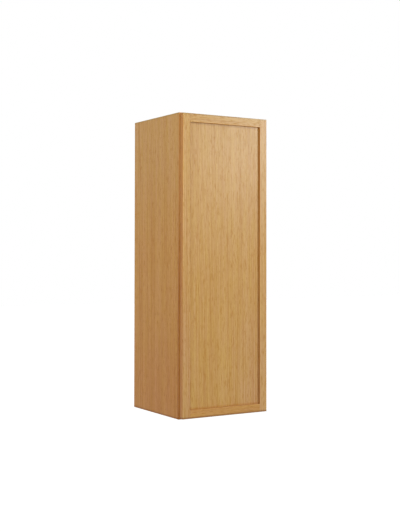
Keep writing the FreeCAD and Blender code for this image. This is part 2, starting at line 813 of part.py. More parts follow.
def short_link_shape():
    eyes = [(NOSE_POINT, EYE_RADIUS), (CUP_POINT, EYE_RADIUS)]
    faces = bent_strip(SHORT_LINK_LINE, SHORT_LINK_HALF, eyes)
    bore = size_of("pivot_radius") + size_of("fit_play")
    bores = [disc(centre, bore) for centre in (NOSE_POINT, CUP_POINT)]
    return plate_pair(faces, bores, size_of("short_link_low"), size_of("short_link_high"))


def long_link_shape():
    slot_start, slot_end = (REAR_POINT + shift for shift in SLOT_TRAVEL)
    slot_half = size_of("slot_half_width")
    faces = bent_strip(LONG_LINK_LINE, LONG_LINK_HALF, [(RIM_POINT, RIM_EYE_RADIUS)])
    faces.append(stadium(slot_start, slot_end, slot_half + SLOT_WALL))
    openings = [
        stadium(slot_start, slot_end, slot_half),
        disc(RIM_POINT, size_of("rim_pivot_radius") + size_of("fit_play")),
    ]
    edge = size_of("long_link_edge")
    return Part.Compound([plate_solid(faces, openings, -edge, edge)])


def arm_prong_shape():
    """Two side plates of the arm's nose, from the arm's neck to the nose pin."""
    root = corner_point(PRONG_ROOT_ACROSS, -size_of("arm_front") - size_of("overshoot"))
    faces = bent_strip((root, REAR_POINT), PRONG_ROOT_HALF, [(NOSE_POINT, EYE_RADIUS)])
    faces.append(stadium(REAR_POINT, NOSE_POINT, EYE_RADIUS))
    seats = [disc(centre, size_of("pivot_radius")) for centre in (NOSE_POINT, REAR_POINT)]
    return plate_pair(faces, seats, size_of("prong_low"), size_of("prong_high"))


def cross_recess(name, axis, face, inward, centre, half):
    """Two crossed slots in a screw head; the head's axis is x or y."""
    low, high = sorted((0, inward))
    depth = (f"({face}) + {low}*recess_deep", f"({face}) + {high}*recess_deep")
    slots = []
    for index, (first, second) in enumerate((("recess_width/2", half), (half, "recess_width/2"))):
        spans = [around(centre[0], first), around(centre[1], second)]
        spans.insert(0 if axis == "x" else 1, depth)
        slots.append(box(f"{name}_recess_{index}", *spans))
    return slots


def span_of_pins(level):
    return around(level, "pin_end")


def stub_spans(level, low, high):
    """The two mirrored height spans of a pair of stub pins."""
    return {"over": (f"{level} + {low}", f"{level} + {high}"),
            "under": (f"{level} - {high}", f"{level} - {low}")}


def hinge_cup(place, level):
    """A die-cast cup with a slot for the links, a screw flange and four pivot seats."""
    name = f"{place}_hinge_cup"
    bowl = rod(f"{name}_bowl", "y", "cup_radius - fit_play*2",
               (f"{CUP_FLOOR} + fit_play*2", DOOR_BACK), x=CUP_X, z=level)
    plate = box(f"{name}_plate", (f"{CUP_X} - flange_inner", f"{CUP_X} + flange_outer"),
                (DOOR_BACK, f"{DOOR_BACK} + flange_thick"), around(level, "flange_reach"))
    flange = rounded(f"{name}_flange", plate, "flange_round", lambda edge, middle: runs_along(edge, "y"))
    hollow = doc.addObject("Part::Common", f"{name}_hollow")
    hollow.Base = box(f"{name}_slot", (f"{CUP_X} - cup_radius", f"{CUP_X} + cup_radius"),
                      (f"{CUP_FLOOR} + cup_wall", f"{DOOR_BACK} + board"), around(level, "cup_slot"))
    hollow.Tool = rod(f"{name}_round", "y", "cup_radius - cup_wall",
                      (f"{CUP_FLOOR} - board", f"{DOOR_BACK} + board"), x=CUP_X, z=level)
    cutters = [hollow]
    pins = span_of_pins(level)
    for (x, y), radius in ((CUP_PIN, "pivot_radius"), (RIM_PIN, "rim_pivot_radius")):
        cutters.append(rod(f"{name}_seat_{len(cutters)}", "z", radius, pins, x=x, y=y))
    for step in (-1, 1):
        span = (f"{DOOR_BACK} - fit_play", f"{DOOR_BACK} + board")
        height = f"{level} + {step}*cup_screw_spacing/2"
        cutters.append(rod(f"{name}_screw_hole_{len(cutters)}", "y", "cup_screw_radius + fit_play*4", span,
                           x=CUP_SCREW_X, z=height))
    return node(cut(name, fuse(f"{name}_body", [bowl, flange]), cutters))


def hinge_cup_screws(place, level):
    screws = []
    for step in (-1, 1):
        tag = f"{place}_cup_screw_{len(screws)}"
        centre = (CUP_SCREW_X, f"{level} + {step}*cup_screw_spacing/2")
        seat = f"{DOOR_BACK} + flange_thick"
        shank = rod(f"{tag}_shank", "y", "cup_screw_radius", (f"{DOOR_BACK} - cup_screw_long", seat),
                    x=centre[0], z=centre[1])
        head = rod(f"{tag}_head", "y", "screw_head_radius", (seat, f"{seat} + screw_head_thick"),
                   x=centre[0], z=centre[1])
        recess = cross_recess(tag, "y", f"{seat} + screw_head_thick", -1, centre, "screw_head_radius*0.6")
        screws.append(cut(tag, fuse(f"{tag}_whole", [shank, head]), recess))
    return node(group(f"{place}_hinge_cup_screws", screws))


def hinge_cup_pins(place, level):
    """Two stub pins for the short links and one long pin near the rim."""
    stubs = [rod(f"{place}_cup_stub_{side}", "z", "pivot_radius", span, x=CUP_PIN[0], y=CUP_PIN[1])
             for side, span in stub_spans(level, "short_link_low", "pin_end").items()]
    through = rod(f"{place}_rim_pin", "z", "rim_pivot_radius", span_of_pins(level),
                  x=RIM_PIN[0], y=RIM_PIN[1])
    return node(group(f"{place}_hinge_cup_pins", stubs + [through]))


def hinge_arm_pins(place, level):
    """Two stub pins in the arm's nose and one rear pin between the arm's plates."""
    stubs = [rod(f"{place}_nose_stub_{side}", "z", "pivot_radius", span, x=NOSE_PIN[0], y=NOSE_PIN[1])
             for side, span in stub_spans(level, "prong_low", "short_link_high").items()]
    rear = rod(f"{place}_rear_pin", "z", "pivot_radius", around(level, "prong_high"),
               x=REAR_PIN[0], y=REAR_PIN[1])
    return node(group(f"{place}_hinge_arm_pins", stubs + [rear]))


ARM_FRONT_Y = f"{FRONT} + arm_front"
ARM_REAR_Y = f"{FRONT} + arm_rear"
ARM_X = (f"{INNER} - arm_high", f"{INNER} - arm_low")
ADJUSTER_ROWS = {"front": f"{FRONT} + adjuster_front", "rear": f"{FRONT} + adjuster_rear"}


def hinge_arm(place, level):
    """A channel over the plate's block, closed at its neck, with the two nose plates in front."""
    name = f"{place}_hinge_arm"
    channel = box(f"{name}_channel", ARM_X, (ARM_FRONT_Y, ARM_REAR_Y), around(level, "arm_half_width"))
    arm_back = size_of("cabinet_width") / 2 - size_of("board") - size_of("arm_high")
    eased = rounded(f"{name}_eased", channel, "arm_wall",
                    lambda edge, middle: runs_along(edge, "y") and near(middle.x, arm_back))
    inside = box(f"{name}_inside", (f"{INNER} - arm_high + arm_wall", INNER),
                 (f"{ARM_FRONT_Y} + arm_neck", f"{ARM_REAR_Y} + board"),
                 around(level, "arm_half_width - arm_wall"))
    hole_x = (f"{INNER} - arm_high - board", f"{INNER} - arm_high + arm_wall + overshoot")
    holes = [rod(f"{name}_{row}_hole", "x", "adjuster_radius + fit_play*2", hole_x, y=y, z=level)
             for row, y in ADJUSTER_ROWS.items()]
    shell = cut(f"{name}_shell", eased, [inside] + holes)
    prongs = shaped(f"{name}_prongs", arm_prong_shape(), level)
    return node(fuse(name, [shell, prongs]))


def hinge_plate(place, level):
    """A winged plate on the side board with a raised block inside the arm."""
    name = f"{place}_hinge_plate"
    base = box(f"{name}_base", (f"{INNER} - plate_base", INNER),
               (f"{FRONT} + plate_front", f"{FRONT} + plate_rear"), around(level, "plate_half_height"))
    wings = rounded(f"{name}_wings", base, "plate_round", lambda edge, middle: runs_along(edge, "x"))
    block = box(f"{name}_block", (f"{INNER} - block_high", f"{INNER} - plate_base"),
                (f"{ARM_FRONT_Y} + arm_neck + end_play", f"{FRONT} + plate_rear"),
                around(level, "block_half_width"))
    holes = [rod(f"{name}_{row}_thread", "x", "adjuster_radius + fit_play*2",
                 (f"{INNER} - board", f"{INNER} - arm_high + arm_wall + adjuster_long"), y=y, z=level)
             for row, y in ADJUSTER_ROWS.items()]
    for step in (-1, 1):
        holes.append(rod(f"{name}_screw_hole_{step + 1}", "x", "plate_screw_radius + fit_play",
                         (f"{INNER} - board", f"{INNER} + board"), y=PLATE_SCREW_Y,
                         z=f"{level} + {step}*plate_screw_spacing/2"))
    return node(cut(name, fuse(f"{name}_whole", [wings, block]), holes))


def side_screw(tag, centre, seat, radius, head_radius, long):
    """A screw driven towards +X, with its crossed head on the room side of the seat."""
    shank = rod(f"{tag}_shank", "x", radius, (seat, f"{seat} + {long}"), y=centre[0], z=centre[1])
    top = f"{seat} - screw_head_thick"
    head = rod(f"{tag}_head", "x", head_radius, (top, seat), y=centre[0], z=centre[1])
    recess = cross_recess(tag, "x", top, 1, centre, f"{head_radius}*0.6")
    return cut(tag, fuse(f"{tag}_whole", [shank, head]), recess)


def hinge_plate_screws(place, level):
    seat = f"{INNER} - plate_base"
    screws = [side_screw(f"{place}_plate_screw_{step + 1}",
                         (PLATE_SCREW_Y, f"{level} + {step}*plate_screw_spacing/2"), seat,
                         "plate_screw_radius - fit_play", "screw_head_radius",
                         "(plate_base + plate_screw_long - end_play)")
              for step in (-1, 1)]
    return node(group(f"{place}_hinge_plate_screws", screws))


def hinge_adjusters(place, level):
    """The side and depth adjusting screws on the arm's back."""
    screws = [side_screw(f"{place}_{row}_adjuster", (y, level), f"{INNER} - arm_high", "adjuster_radius",
                         "adjuster_head", "(arm_wall + adjuster_long - end_play)")
              for row, y in ADJUSTER_ROWS.items()]
    return node(group(f"{place}_hinge_adjusting_screws", screws))


for place, level in HINGE_LEVELS.items():
    hinge_cup(place, level)
    hinge_cup_screws(place, level)
    hinge_cup_pins(place, level)
    hinge_plate(place, level)
    hinge_plate_screws(place, level)
    hinge_arm(place, level)
    hinge_arm_pins(place, level)
    hinge_adjusters(place, level)
    node(shaped(f"{place}_hinge_short_links", short_link_shape(), level))
    node(shaped(f"{place}_hinge_long_link", long_link_shape(), level))


# Check every object, then write one file for each finished piece

doc.recompute()
failed = [item.Name for item in doc.Objects if {"Invalid", "Error"} & set(item.State)]
if failed:
    raise RuntimeError(f"failed objects: {failed}")
for item in nodes:
    if item.Shape.isNull() or not item.Shape.isValid():
        raise RuntimeError(f"{item.Label} has no valid shape")

os.makedirs("parts", exist_ok=True)
for item in nodes:
    item.Shape.exportStep(f"parts/{item.Label}.step")
    print(f"{item.Label}: {len(item.Shape.Solids)} solids, {item.Shape.Volume / 1000:.1f} cm3")
print(f"{len(nodes)} pieces written")
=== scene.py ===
# %% [markdown]
# # A kitchen wall cabinet in golden oak
# The cabinet is a box of lacquered boards that hangs on a wall, with two shelves and one slim-framed door
# on two concealed hinges. Every board, hinge and fitting comes from the frame at its real size. This
# lesson is about what makes such plain shapes look real: wood whose grain runs the way each piece was
# sawn, board edges that show their plies, pressed steel with rolled edges, threaded screws, and a soft
# light that tells the faces apart.

# %% Load the frame
import json
import math

import bpy
from mathutils import Euler, Matrix, Vector


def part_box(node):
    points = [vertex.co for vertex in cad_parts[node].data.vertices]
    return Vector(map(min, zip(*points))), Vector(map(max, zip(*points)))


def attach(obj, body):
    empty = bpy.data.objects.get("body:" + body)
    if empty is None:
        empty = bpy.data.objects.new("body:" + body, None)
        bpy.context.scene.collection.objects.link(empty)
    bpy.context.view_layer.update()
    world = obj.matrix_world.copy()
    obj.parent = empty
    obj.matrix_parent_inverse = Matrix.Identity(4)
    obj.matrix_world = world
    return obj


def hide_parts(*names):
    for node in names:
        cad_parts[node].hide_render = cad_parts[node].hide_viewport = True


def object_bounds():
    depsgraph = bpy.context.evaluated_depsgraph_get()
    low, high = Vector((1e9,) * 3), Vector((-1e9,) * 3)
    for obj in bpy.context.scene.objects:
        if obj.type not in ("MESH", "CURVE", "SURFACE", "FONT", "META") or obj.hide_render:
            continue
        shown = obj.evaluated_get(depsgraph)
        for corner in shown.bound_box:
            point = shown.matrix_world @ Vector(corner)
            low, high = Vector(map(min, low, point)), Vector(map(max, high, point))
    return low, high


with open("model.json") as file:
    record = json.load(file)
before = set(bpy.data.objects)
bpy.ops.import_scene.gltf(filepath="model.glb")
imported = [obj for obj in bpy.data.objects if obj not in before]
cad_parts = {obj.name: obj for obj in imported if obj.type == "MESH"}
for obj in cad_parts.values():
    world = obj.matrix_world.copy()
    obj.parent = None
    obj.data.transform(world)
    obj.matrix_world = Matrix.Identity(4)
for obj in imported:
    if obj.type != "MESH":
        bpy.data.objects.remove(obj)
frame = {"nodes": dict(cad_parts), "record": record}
bpy.ops.object.select_all(action="DESELECT")
cad_low, cad_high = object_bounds()
cabinet_middle = (cad_low + cad_high) / 2
print("cabinet size in metres:", [round(side, 4) for side in cad_high - cad_low])

# %% [markdown]
# ## The camera
# The picture is taken from the left of the cabinet and in front of it, a good three metres away, with the
# eye just above the cabinet's middle. The lens is kept nearly level and shifted instead of tilted, as an
# interiors photographer would do, so the upright edges stay almost parallel.

# %% Place the camera
EYE = Vector((-1.6142, -2.8138, 0.4912))
HEADING = math.radians(-31.27)
ROLL = math.radians(-0.08)
UPWARD_TILT = math.radians(1.33)
LENS_MM = 66.4
LENS_DROP = -0.0654
QUARTER = math.pi / 2

bpy.ops.object.camera_add(location=EYE, rotation=(QUARTER + UPWARD_TILT, ROLL, HEADING))
camera = bpy.context.object
camera.name = "camera"
camera.data.lens = LENS_MM
camera.data.shift_y = LENS_DROP
bpy.context.scene.camera = camera
bpy.context.scene.view_settings.view_transform = "Standard"
print("camera stands", round((EYE - cabinet_middle).length, 2), "m from the cabinet's middle")

# %% [markdown]
# ## Small helpers for node trees
# A finish is a tree of nodes. It could be drawn by hand in the Shader Editor, but code can make every
# wood of the cabinet from one drawing. Written out in full, each node takes four or five lines, so short
# helpers carry the load: they link or set a socket, add a node with its inputs by name, do a sum, draw a
# soft step, mix two colours, and start a material with a Principled shader at its end.

# %% Node helpers
def put(tree, socket, value):
    """Link another node's output to a socket, or set the socket to a plain value."""
    if isinstance(value, bpy.types.NodeSocket):
        tree.links.new(value, socket)
    else:
        socket.default_value = value


def add(tree, kind, inputs=None, **settings):
    """A new node with its settings, and its inputs by name or number."""
    made = tree.nodes.new("ShaderNode" + kind)
    for name, value in settings.items():
        setattr(made, name, value)
    for name, value in (inputs or {}).items():
        put(tree, made.inputs[name], value)
    return made


def calc(tree, operation, first, second=0.0, third=0.0, clamp=False):
    """One sum or comparison."""
    made = add(tree, "Math", {0: first, 1: second, 2: third}, operation=operation, use_clamp=clamp)
    return made.outputs[0]


def fade(tree, value, low, high, start=0.0, end=1.0):
    """A soft step: from start to end as the value goes from low to high."""
    inputs = {"Value": value, "From Min": low, "From Max": high, "To Min": start, "To Max": end}
    return add(tree, "MapRange", inputs, interpolation_type="SMOOTHSTEP").outputs[0]


def new_finish(name):
    """A material with an empty Principled shader, and its tree."""
    finish = bpy.data.materials.new(name)
    finish.use_nodes = True
    tree = finish.node_tree
    tree.nodes.clear()
    shader = add(tree, "BsdfPrincipled")
    add(tree, "OutputMaterial", {"Surface": shader.outputs[0]})
    return finish, tree, shader


print("node helpers are ready")

# %% Colour and place helpers
X, Y, Z = range(3)
# The Mix node has several sockets of each name, so its sockets for colours go by number.
MIX_SHARE, MIX_FIRST, MIX_SECOND, MIX_RESULT = 0, 6, 7, 2


def between(tree, share, first, second, way="MIX"):
    """Mix two colours by a share from 0 to 1."""
    inputs = {MIX_SHARE: share, MIX_FIRST: first, MIX_SECOND: second}
    return add(tree, "Mix", inputs, data_type="RGBA", blend_type=way).outputs[MIX_RESULT]


def stained_and_shaded(tree, colour, stain):
    """A colour multiplied by a tint: a clear stain in some places, painted shade and painted light in
    others.
    """
    return between(tree, 1.0, colour, stain, "MULTIPLY")


def object_place(tree):
    """Where a point lies, in metres in the cabinet's own frame."""
    return add(tree, "TexCoord").outputs["Object"]


def coordinate(tree, vector, axis):
    """One of a vector's three numbers."""
    return add(tree, "SeparateXYZ", {0: vector}).outputs[axis]


print("colours can be mixed, and places read along X, Y and Z")

# %% [markdown]
# ## Floor, background and light
# The background is plain white, and the cabinet hangs as high over the floor as it would on a wall. The
# floor and the world are white to the camera and to reflections only, and a dimmer grey to the wood,
# whose colours would fade in so much light. A soft lamp up to the right in front is the key: it is near
# enough to fall off from the top of the door to its foot. A wider, weaker one up to the left keeps the
# side from going dull, a small one further back lights the side's rear, and a last one lights the
# cabinet's back. That one is left out of reflections, because on the right side, seen at a slant, it
# would show as a white glare.

# %% Floor
FLOOR_DROP = 1.37
FLOOR_HALF = 30.0
FLOOR_GLOW = 0.80
FLOOR_ROUGHNESS = 0.9
FLOOR_DARK, FLOOR_LIGHT = (0.47, 0.47, 0.47, 1), (0.51, 0.51, 0.51, 1)
FLOOR_MOTTLE = {"Scale": 3.0, "Detail": 2.0}
WHITE = (1, 1, 1, 1)


def seen_share(tree):
    """1 for what the camera sees, also mirrored or through clear polymer, and 0 for what lights the wood."""
    rays = add(tree, "LightPath").outputs
    seen = calc(tree, "MAXIMUM", rays["Is Camera Ray"], rays["Is Glossy Ray"])
    return calc(tree, "MAXIMUM", seen, rays["Is Transmission Ray"])


bpy.ops.mesh.primitive_plane_add(size=2 * FLOOR_HALF, location=(0, 0, -FLOOR_DROP))
floor = bpy.context.object
floor.name = "floor"
floor_finish, tree, shader = new_finish("pale_floor")
mottle = add(tree, "TexNoise", {"Vector": object_place(tree), **FLOOR_MOTTLE}).outputs[0]
put(tree, shader.inputs["Base Color"], between(tree, mottle, FLOOR_DARK, FLOOR_LIGHT))
put(tree, shader.inputs["Emission Strength"], calc(tree, "MULTIPLY", seen_share(tree), FLOOR_GLOW))
shader.inputs["Emission Color"].default_value = WHITE
shader.inputs["Roughness"].default_value = FLOOR_ROUGHNESS
floor.data.materials.append(floor_finish)
print("floor lies", FLOOR_DROP, "m below the cabinet")

# %% World
ROOM_LIGHT = 0.42

world = bpy.data.worlds.new("white_room")
bpy.context.scene.world = world
world.use_nodes = True
tree = world.node_tree
tree.nodes.clear()
strength = calc(tree, "MULTIPLY_ADD", seen_share(tree), 1 - ROOM_LIGHT, ROOM_LIGHT)
backdrop = add(tree, "Background", {"Color": WHITE, "Strength": strength})
add(tree, "OutputWorld", {"Surface": backdrop.outputs[0]})
print("room light is", ROOM_LIGHT, "of white")

# %% Lamps
LAMPS = {
    "key_softbox": {"place": (1.86, -2.44, 1.24), "aim": (0.05, -0.30, 0.75), "width": 0.62,
                    "watts": 42.0, "colour": (0.96, 1.0, 0.98), "mirrored": True},
    "left_softbox": {"place": (-1.85, -1.55, 1.20), "aim": (-0.10, -0.20, 0.60), "width": 1.6,
                     "watts": 29.0, "colour": (1.0, 1.0, 1.0), "mirrored": True},
    "rear_softbox": {"place": (-2.60, 1.60, 1.55), "aim": (-0.15, -0.15, 0.80), "width": 0.8,
                     "watts": 5.5, "colour": (1.0, 1.0, 1.0), "mirrored": True},
    "back_softbox": {"place": (1.10, 2.70, 0.35), "aim": (0.0, 0.0, 0.45), "width": 1.2,
                     "watts": 26.0, "colour": (1.0, 1.0, 1.0), "mirrored": False},
}

for name, lamp in LAMPS.items():
    place = Vector(lamp["place"])
    towards = Vector(lamp["aim"]) - place
    turn = towards.to_track_quat("-Z", "Y").to_euler()
    bpy.ops.object.light_add(type="AREA", location=place, rotation=turn)
    light = bpy.context.object
    light.name = name
    light.data.size = lamp["width"]
    light.data.energy = lamp["watts"]
    light.data.color = lamp["colour"]
    light.visible_camera = False
    light.visible_glossy = lamp["mirrored"]
    print(name, "is", round(towards.length, 2), "m from what it lights")

# %% [markdown]
# ## Wood from layered noise
# Oak is not one pattern but several at different scales: broad drifts of tone, growth rings that show as
# upright lines and long arches, fine fibres, and short dark pores. An image would repeat and could not
# follow a sawn edge, so the wood is worked out in three dimensions from object coordinates whose Z is
# turned along the grain. The rings are distances from a slightly leaning heart line beside the board,
# which is why they arch as they do in a tree. No two trees have one colour, so the side, the rails and
# the panel each have a tinted oak. The bands' tint is painted shade from the gap between door and side.

# %% Wood recipes
# Each wood: its colours, two hues that tint it in patches, the step between its rings, where their heart
# line lies and how it leans, its roughness where smoothest and roughest, and how strongly each layer shows.
WOODS = {
    "oak": {
        "dark": (0.395, 0.160, 0.014, 1), "middle": (0.552, 0.313, 0.104, 1),
        "light": (0.668, 0.434, 0.194, 1), "fleck": (0.450, 0.192, 0.022, 1),
        "hues": ((1.0, 1.0, 0.84, 1), (1.0, 0.975, 1.0, 1)),
        "ring_step": 0.0058, "heart": (0.16, 0.13), "lean": 0.020, "gloss": (0.29, 0.39),
        "rings": 0.24, "drift": 0.14, "bands": 0.20, "streaks": 0.30, "fibres": 0.24,
        "flecks": 0.36, "pores": 0.66,
    },
    "maple": {
        "dark": (0.600, 0.420, 0.225, 1), "middle": (0.710, 0.530, 0.305, 1),
        "light": (0.790, 0.625, 0.390, 1), "fleck": (0.610, 0.420, 0.225, 1),
        "hues": ((1.0, 1.0, 0.95, 1), (1.0, 0.985, 1.0, 1)),
        "ring_step": 0.0085, "heart": (0.02, 0.09), "lean": 0.025, "gloss": (0.40, 0.52),
        "rings": 0.14, "drift": 0.22, "bands": 0.16, "streaks": 0.16, "fibres": 0.14,
        "flecks": 0.12, "pores": 0.06,
    },
    "pine": {
        "dark": (0.470, 0.265, 0.105, 1), "middle": (0.650, 0.450, 0.235, 1),
        "light": (0.740, 0.560, 0.330, 1), "fleck": (0.520, 0.300, 0.120, 1),
        "hues": ((1.0, 1.0, 0.92, 1), (1.0, 0.98, 1.0, 1)),
        "ring_step": 0.0062, "heart": (0.0, 0.03), "lean": 0.012, "gloss": (0.60, 0.75),
        "rings": 0.70, "drift": 0.12, "bands": 0.10, "streaks": 0.16, "fibres": 0.14,
        "flecks": 0.10, "pores": 0.05,
    },
}


def tinted(wood, tint, **layers):
    """The same wood from another tree: its colours multiplied by a tint, and any layers that differ."""
    colours = {name: (*(part * share for part, share in zip(wood[name], tint)), 1)
               for name in ("dark", "middle", "light", "fleck")}
    return {**wood, **colours, **layers}


WOODS["side_oak"] = tinted(WOODS["oak"], (1.03, 0.92, 0.82))
WOODS["rail_oak"] = tinted(WOODS["oak"], (0.96, 0.89, 0.82))
# The bands' tint is painted shade from the gap between the door and the side.
WOODS["band_oak"] = tinted(WOODS["oak"], (0.98, 0.74, 0.47))
WOODS["panel_oak"] = tinted(WOODS["oak"], (0.993, 0.993, 0.973), streaks=0.26, flecks=0.30, pores=0.54)
print("woods:", ", ".join(WOODS))

# %% Noise along the grain
# Each layer: cycles to the metre across, through and along the grain, its detail, and the noise's shift.
GRAIN = {
    "ring_wander": ((6, 6, 1.1), 2.0, (0.0, 0.0, 0.0)),
    "ring_steps": ((40, 40, 0.5), 1.0, (4.0, 1.0, 6.0)),
    "drift": ((7, 7, 0.6), 2.0, (1.0, 2.0, 3.0)),
    "bands": ((70, 70, 1.3), 2.0, (5.0, 3.0, 8.0)),
    "streaks": ((240, 240, 2.2), 3.0, (3.1, 7.7, 1.9)),
    "fibres": ((900, 900, 20.0), 2.0, (2.3, 9.1, 4.4)),
    "hues": ((85, 85, 9.0), 2.0, (6.0, 4.0, 1.0)),
    "flecks": ((330, 330, 40.0), 1.0, (8.0, 2.0, 5.0)),
    "pores": ((1700, 1700, 70.0), 1.0, (11.0, 5.0, 2.0)),
}
NOISE_ROUGHNESS = 0.55
VALUE, COLOUR = range(2)


def stretched(tree, place, factors, shift):
    """Coordinates scaled and moved, so that a round noise is drawn out along the grain."""
    scaled = add(tree, "VectorMath", {0: place, 1: factors, 2: shift}, operation="MULTIPLY_ADD")
    return scaled.outputs[0]


def noise(tree, place, factors, detail, shift=(0, 0, 0)):
    """A noise drawn out by three factors, in cycles to the metre: its value and its colour."""
    inputs = {"Vector": stretched(tree, place, factors, shift), "Scale": 1.0, "Detail": detail,
              "Roughness": NOISE_ROUGHNESS}
    return add(tree, "TexNoise", inputs).outputs


print("layers of grain:", ", ".join(GRAIN))

# %% Growth rings
RING_STRAY = (0.020, 0.020, 0)
RING_JITTER = 2.5
LATE_WOOD_GROWS, LATE_WOOD_ENDS = (0.0, 0.75), (0.80, 1.0)
FAINTEST_RING = 0.2


def growth_rings(tree, place, wood):
    """Lines of late wood at uneven steps around a leaning heart line, some strong and some faint."""
    wander = noise(tree, place, *GRAIN["ring_wander"])[COLOUR]
    strayed = stretched(tree, wander, RING_STRAY, place)
    aside, behind = wood["heart"]
    across = calc(tree, "ADD", coordinate(tree, strayed, X), aside)
    leaning = calc(tree, "MULTIPLY_ADD", coordinate(tree, strayed, Z), wood["lean"], behind)
    depth = calc(tree, "ADD", leaning, coordinate(tree, strayed, Y))
    squares = calc(tree, "ADD", calc(tree, "POWER", across, 2.0), calc(tree, "POWER", depth, 2.0))
    steps = calc(tree, "DIVIDE", calc(tree, "SQRT", squares), wood["ring_step"])
    uneven = noise(tree, place, *GRAIN["ring_steps"])[VALUE]
    turns = calc(tree, "MULTIPLY_ADD", uneven, RING_JITTER, steps)
    season = calc(tree, "FRACT", turns)
    line = calc(tree, "SUBTRACT", fade(tree, season, *LATE_WOOD_GROWS), fade(tree, season, *LATE_WOOD_ENDS))
    year = calc(tree, "FLOOR", turns)
    weather = add(tree, "TexWhiteNoise", {"W": year}, noise_dimensions="1D").outputs["Value"]
    strength = calc(tree, "MULTIPLY_ADD", weather, 1 - FAINTEST_RING, FAINTEST_RING)
    return calc(tree, "MULTIPLY", line, strength)


print("the faintest ring shows at", FAINTEST_RING, "of the strongest")

# %% Tone of the wood
TONE_LAYERS = ("drift", "bands", "streaks", "fibres")
MEAN_RING = 0.3
MIDDLE_TONE = 0.5


def wood_tone(tree, place, wood):
    """How pale the wood is, from 0 to 1, with its rings and every layer in it. Also gives the layers."""
    rings = calc(tree, "SUBTRACT", growth_rings(tree, place, wood), MEAN_RING)
    tone = calc(tree, "MULTIPLY_ADD", rings, -wood["rings"], MIDDLE_TONE)
    layers = {}
    for name in TONE_LAYERS:
        layers[name] = noise(tree, place, *GRAIN[name])[VALUE]
        swing = calc(tree, "SUBTRACT", layers[name], MIDDLE_TONE)
        tone = calc(tree, "MULTIPLY_ADD", swing, 2 * wood[name], tone)
    return tone, layers


def three_colours(tree, tone, dark, middle, light):
    """Dark at a tone of 0, middle at a half and light at 1."""
    lower = between(tree, calc(tree, "MULTIPLY", tone, 2.0, clamp=True), dark, middle)
    return between(tree, calc(tree, "MULTIPLY_ADD", tone, 2.0, -1.0, clamp=True), lower, light)


print("layers in the tone:", ", ".join(TONE_LAYERS))

# %% Flecks, pores and gloss
HUE_SPREAD = (0.3, 0.7)
FLECK_BAR, FLECK_SOFTNESS = 0.55, 0.14
PORE_BAR, PORE_SOFTNESS = 0.62, 0.05
PORES_IN_FLECKS = 0.13
FIBRE_RELIEF = 0.35


def dashes(tree, place, layer, bar, softness):
    """Short strokes along the grain, where a drawn-out noise rises over a bar."""
    strokes = noise(tree, place, *GRAIN[layer])[VALUE]
    return fade(tree, calc(tree, "SUBTRACT", strokes, bar), 0.0, softness)


def wood_surface(tree, place, wood):
    """Colour, relief and roughness of a wood, from coordinates whose Z runs along the grain."""
    tone, layers = wood_tone(tree, place, wood)
    colour = three_colours(tree, tone, wood["dark"], wood["middle"], wood["light"])
    patches = fade(tree, noise(tree, place, *GRAIN["hues"])[VALUE], *HUE_SPREAD)
    colour = stained_and_shaded(tree, colour, between(tree, patches, *wood["hues"]))
    flecks = dashes(tree, place, "flecks", FLECK_BAR, FLECK_SOFTNESS)
    colour = between(tree, calc(tree, "MULTIPLY", flecks, wood["flecks"]), colour, wood["fleck"])
    pore_bar = calc(tree, "MULTIPLY_ADD", flecks, -PORES_IN_FLECKS, PORE_BAR)
    pores = dashes(tree, place, "pores", pore_bar, PORE_SOFTNESS)
    colour = between(tree, calc(tree, "MULTIPLY", pores, wood["pores"]), colour, wood["dark"])
    relief = calc(tree, "SUBTRACT", calc(tree, "MULTIPLY", layers["fibres"], FIBRE_RELIEF), pores)
    smooth, rough = wood["gloss"]
    roughness = calc(tree, "MULTIPLY_ADD", layers["streaks"], rough - smooth, smooth)
    return colour, relief, roughness


print("a wood surface has colour, relief and roughness")

# %% Saw and lacquer
# Which way a piece lies in its tree: how its grain runs, and where its broad face looks.
UPRIGHT_FACING_FRONT = (0, 0, 0)
UPRIGHT_FACING_SIDE = (0, 0, QUARTER)
ACROSS_FACING_FRONT = (0, -QUARTER, 0)
ACROSS_FACING_UP = (QUARTER, 0, QUARTER)
# Where in its tree each finish was sawn, in metres, so that no two share a pattern.
SAWN_AT = {
    "oak_stile": (0.21, 0.30, 0.4), "oak_rail": (0.06, 0.31, 0.1), "oak_panel": (0.02, 0.29, 0.0),
    "oak_band_upright": (0.3, 0.2, 0.7), "oak_band_across": (0.2, 0.4, 0.3),
    "oak_side": (0.16, 0.5, 0.2), "oak_board": (0.2, 0.1, 0.3),
    "shelf_board": (0.3, 0.2, 0.5), "back_board": (0.05, 0.1, 0.2),
    "hanging_rail": (0.05, 0.02, 0.0), "beech_dowel": (0.4, 0.3, 0.1),
}
SATIN_SHINE = 0.27
RELIEF_DEPTH, RELIEF_STRENGTH = 0.00012, 0.6


def sawn_place(tree, name, turn):
    """Object coordinates, turned so that Z runs along the grain and Y through the board."""
    inputs = {"Vector": object_place(tree), "Location": SAWN_AT[name], "Rotation": turn}
    return add(tree, "Mapping", inputs, vector_type="POINT").outputs[0]


def lacquered(tree, shader, colour, relief, roughness, shine=SATIN_SHINE):
    """A satin coat: the relief shows through it, and the gloss stays soft."""
    put(tree, shader.inputs["Base Color"], colour)
    put(tree, shader.inputs["Roughness"], roughness)
    bump = add(tree, "Bump", {"Height": relief, "Distance": RELIEF_DEPTH, "Strength": RELIEF_STRENGTH})
    put(tree, shader.inputs["Normal"], bump.outputs[0])
    shader.inputs["Specular IOR Level"].default_value = shine


print("finishes to saw:", len(SAWN_AT))

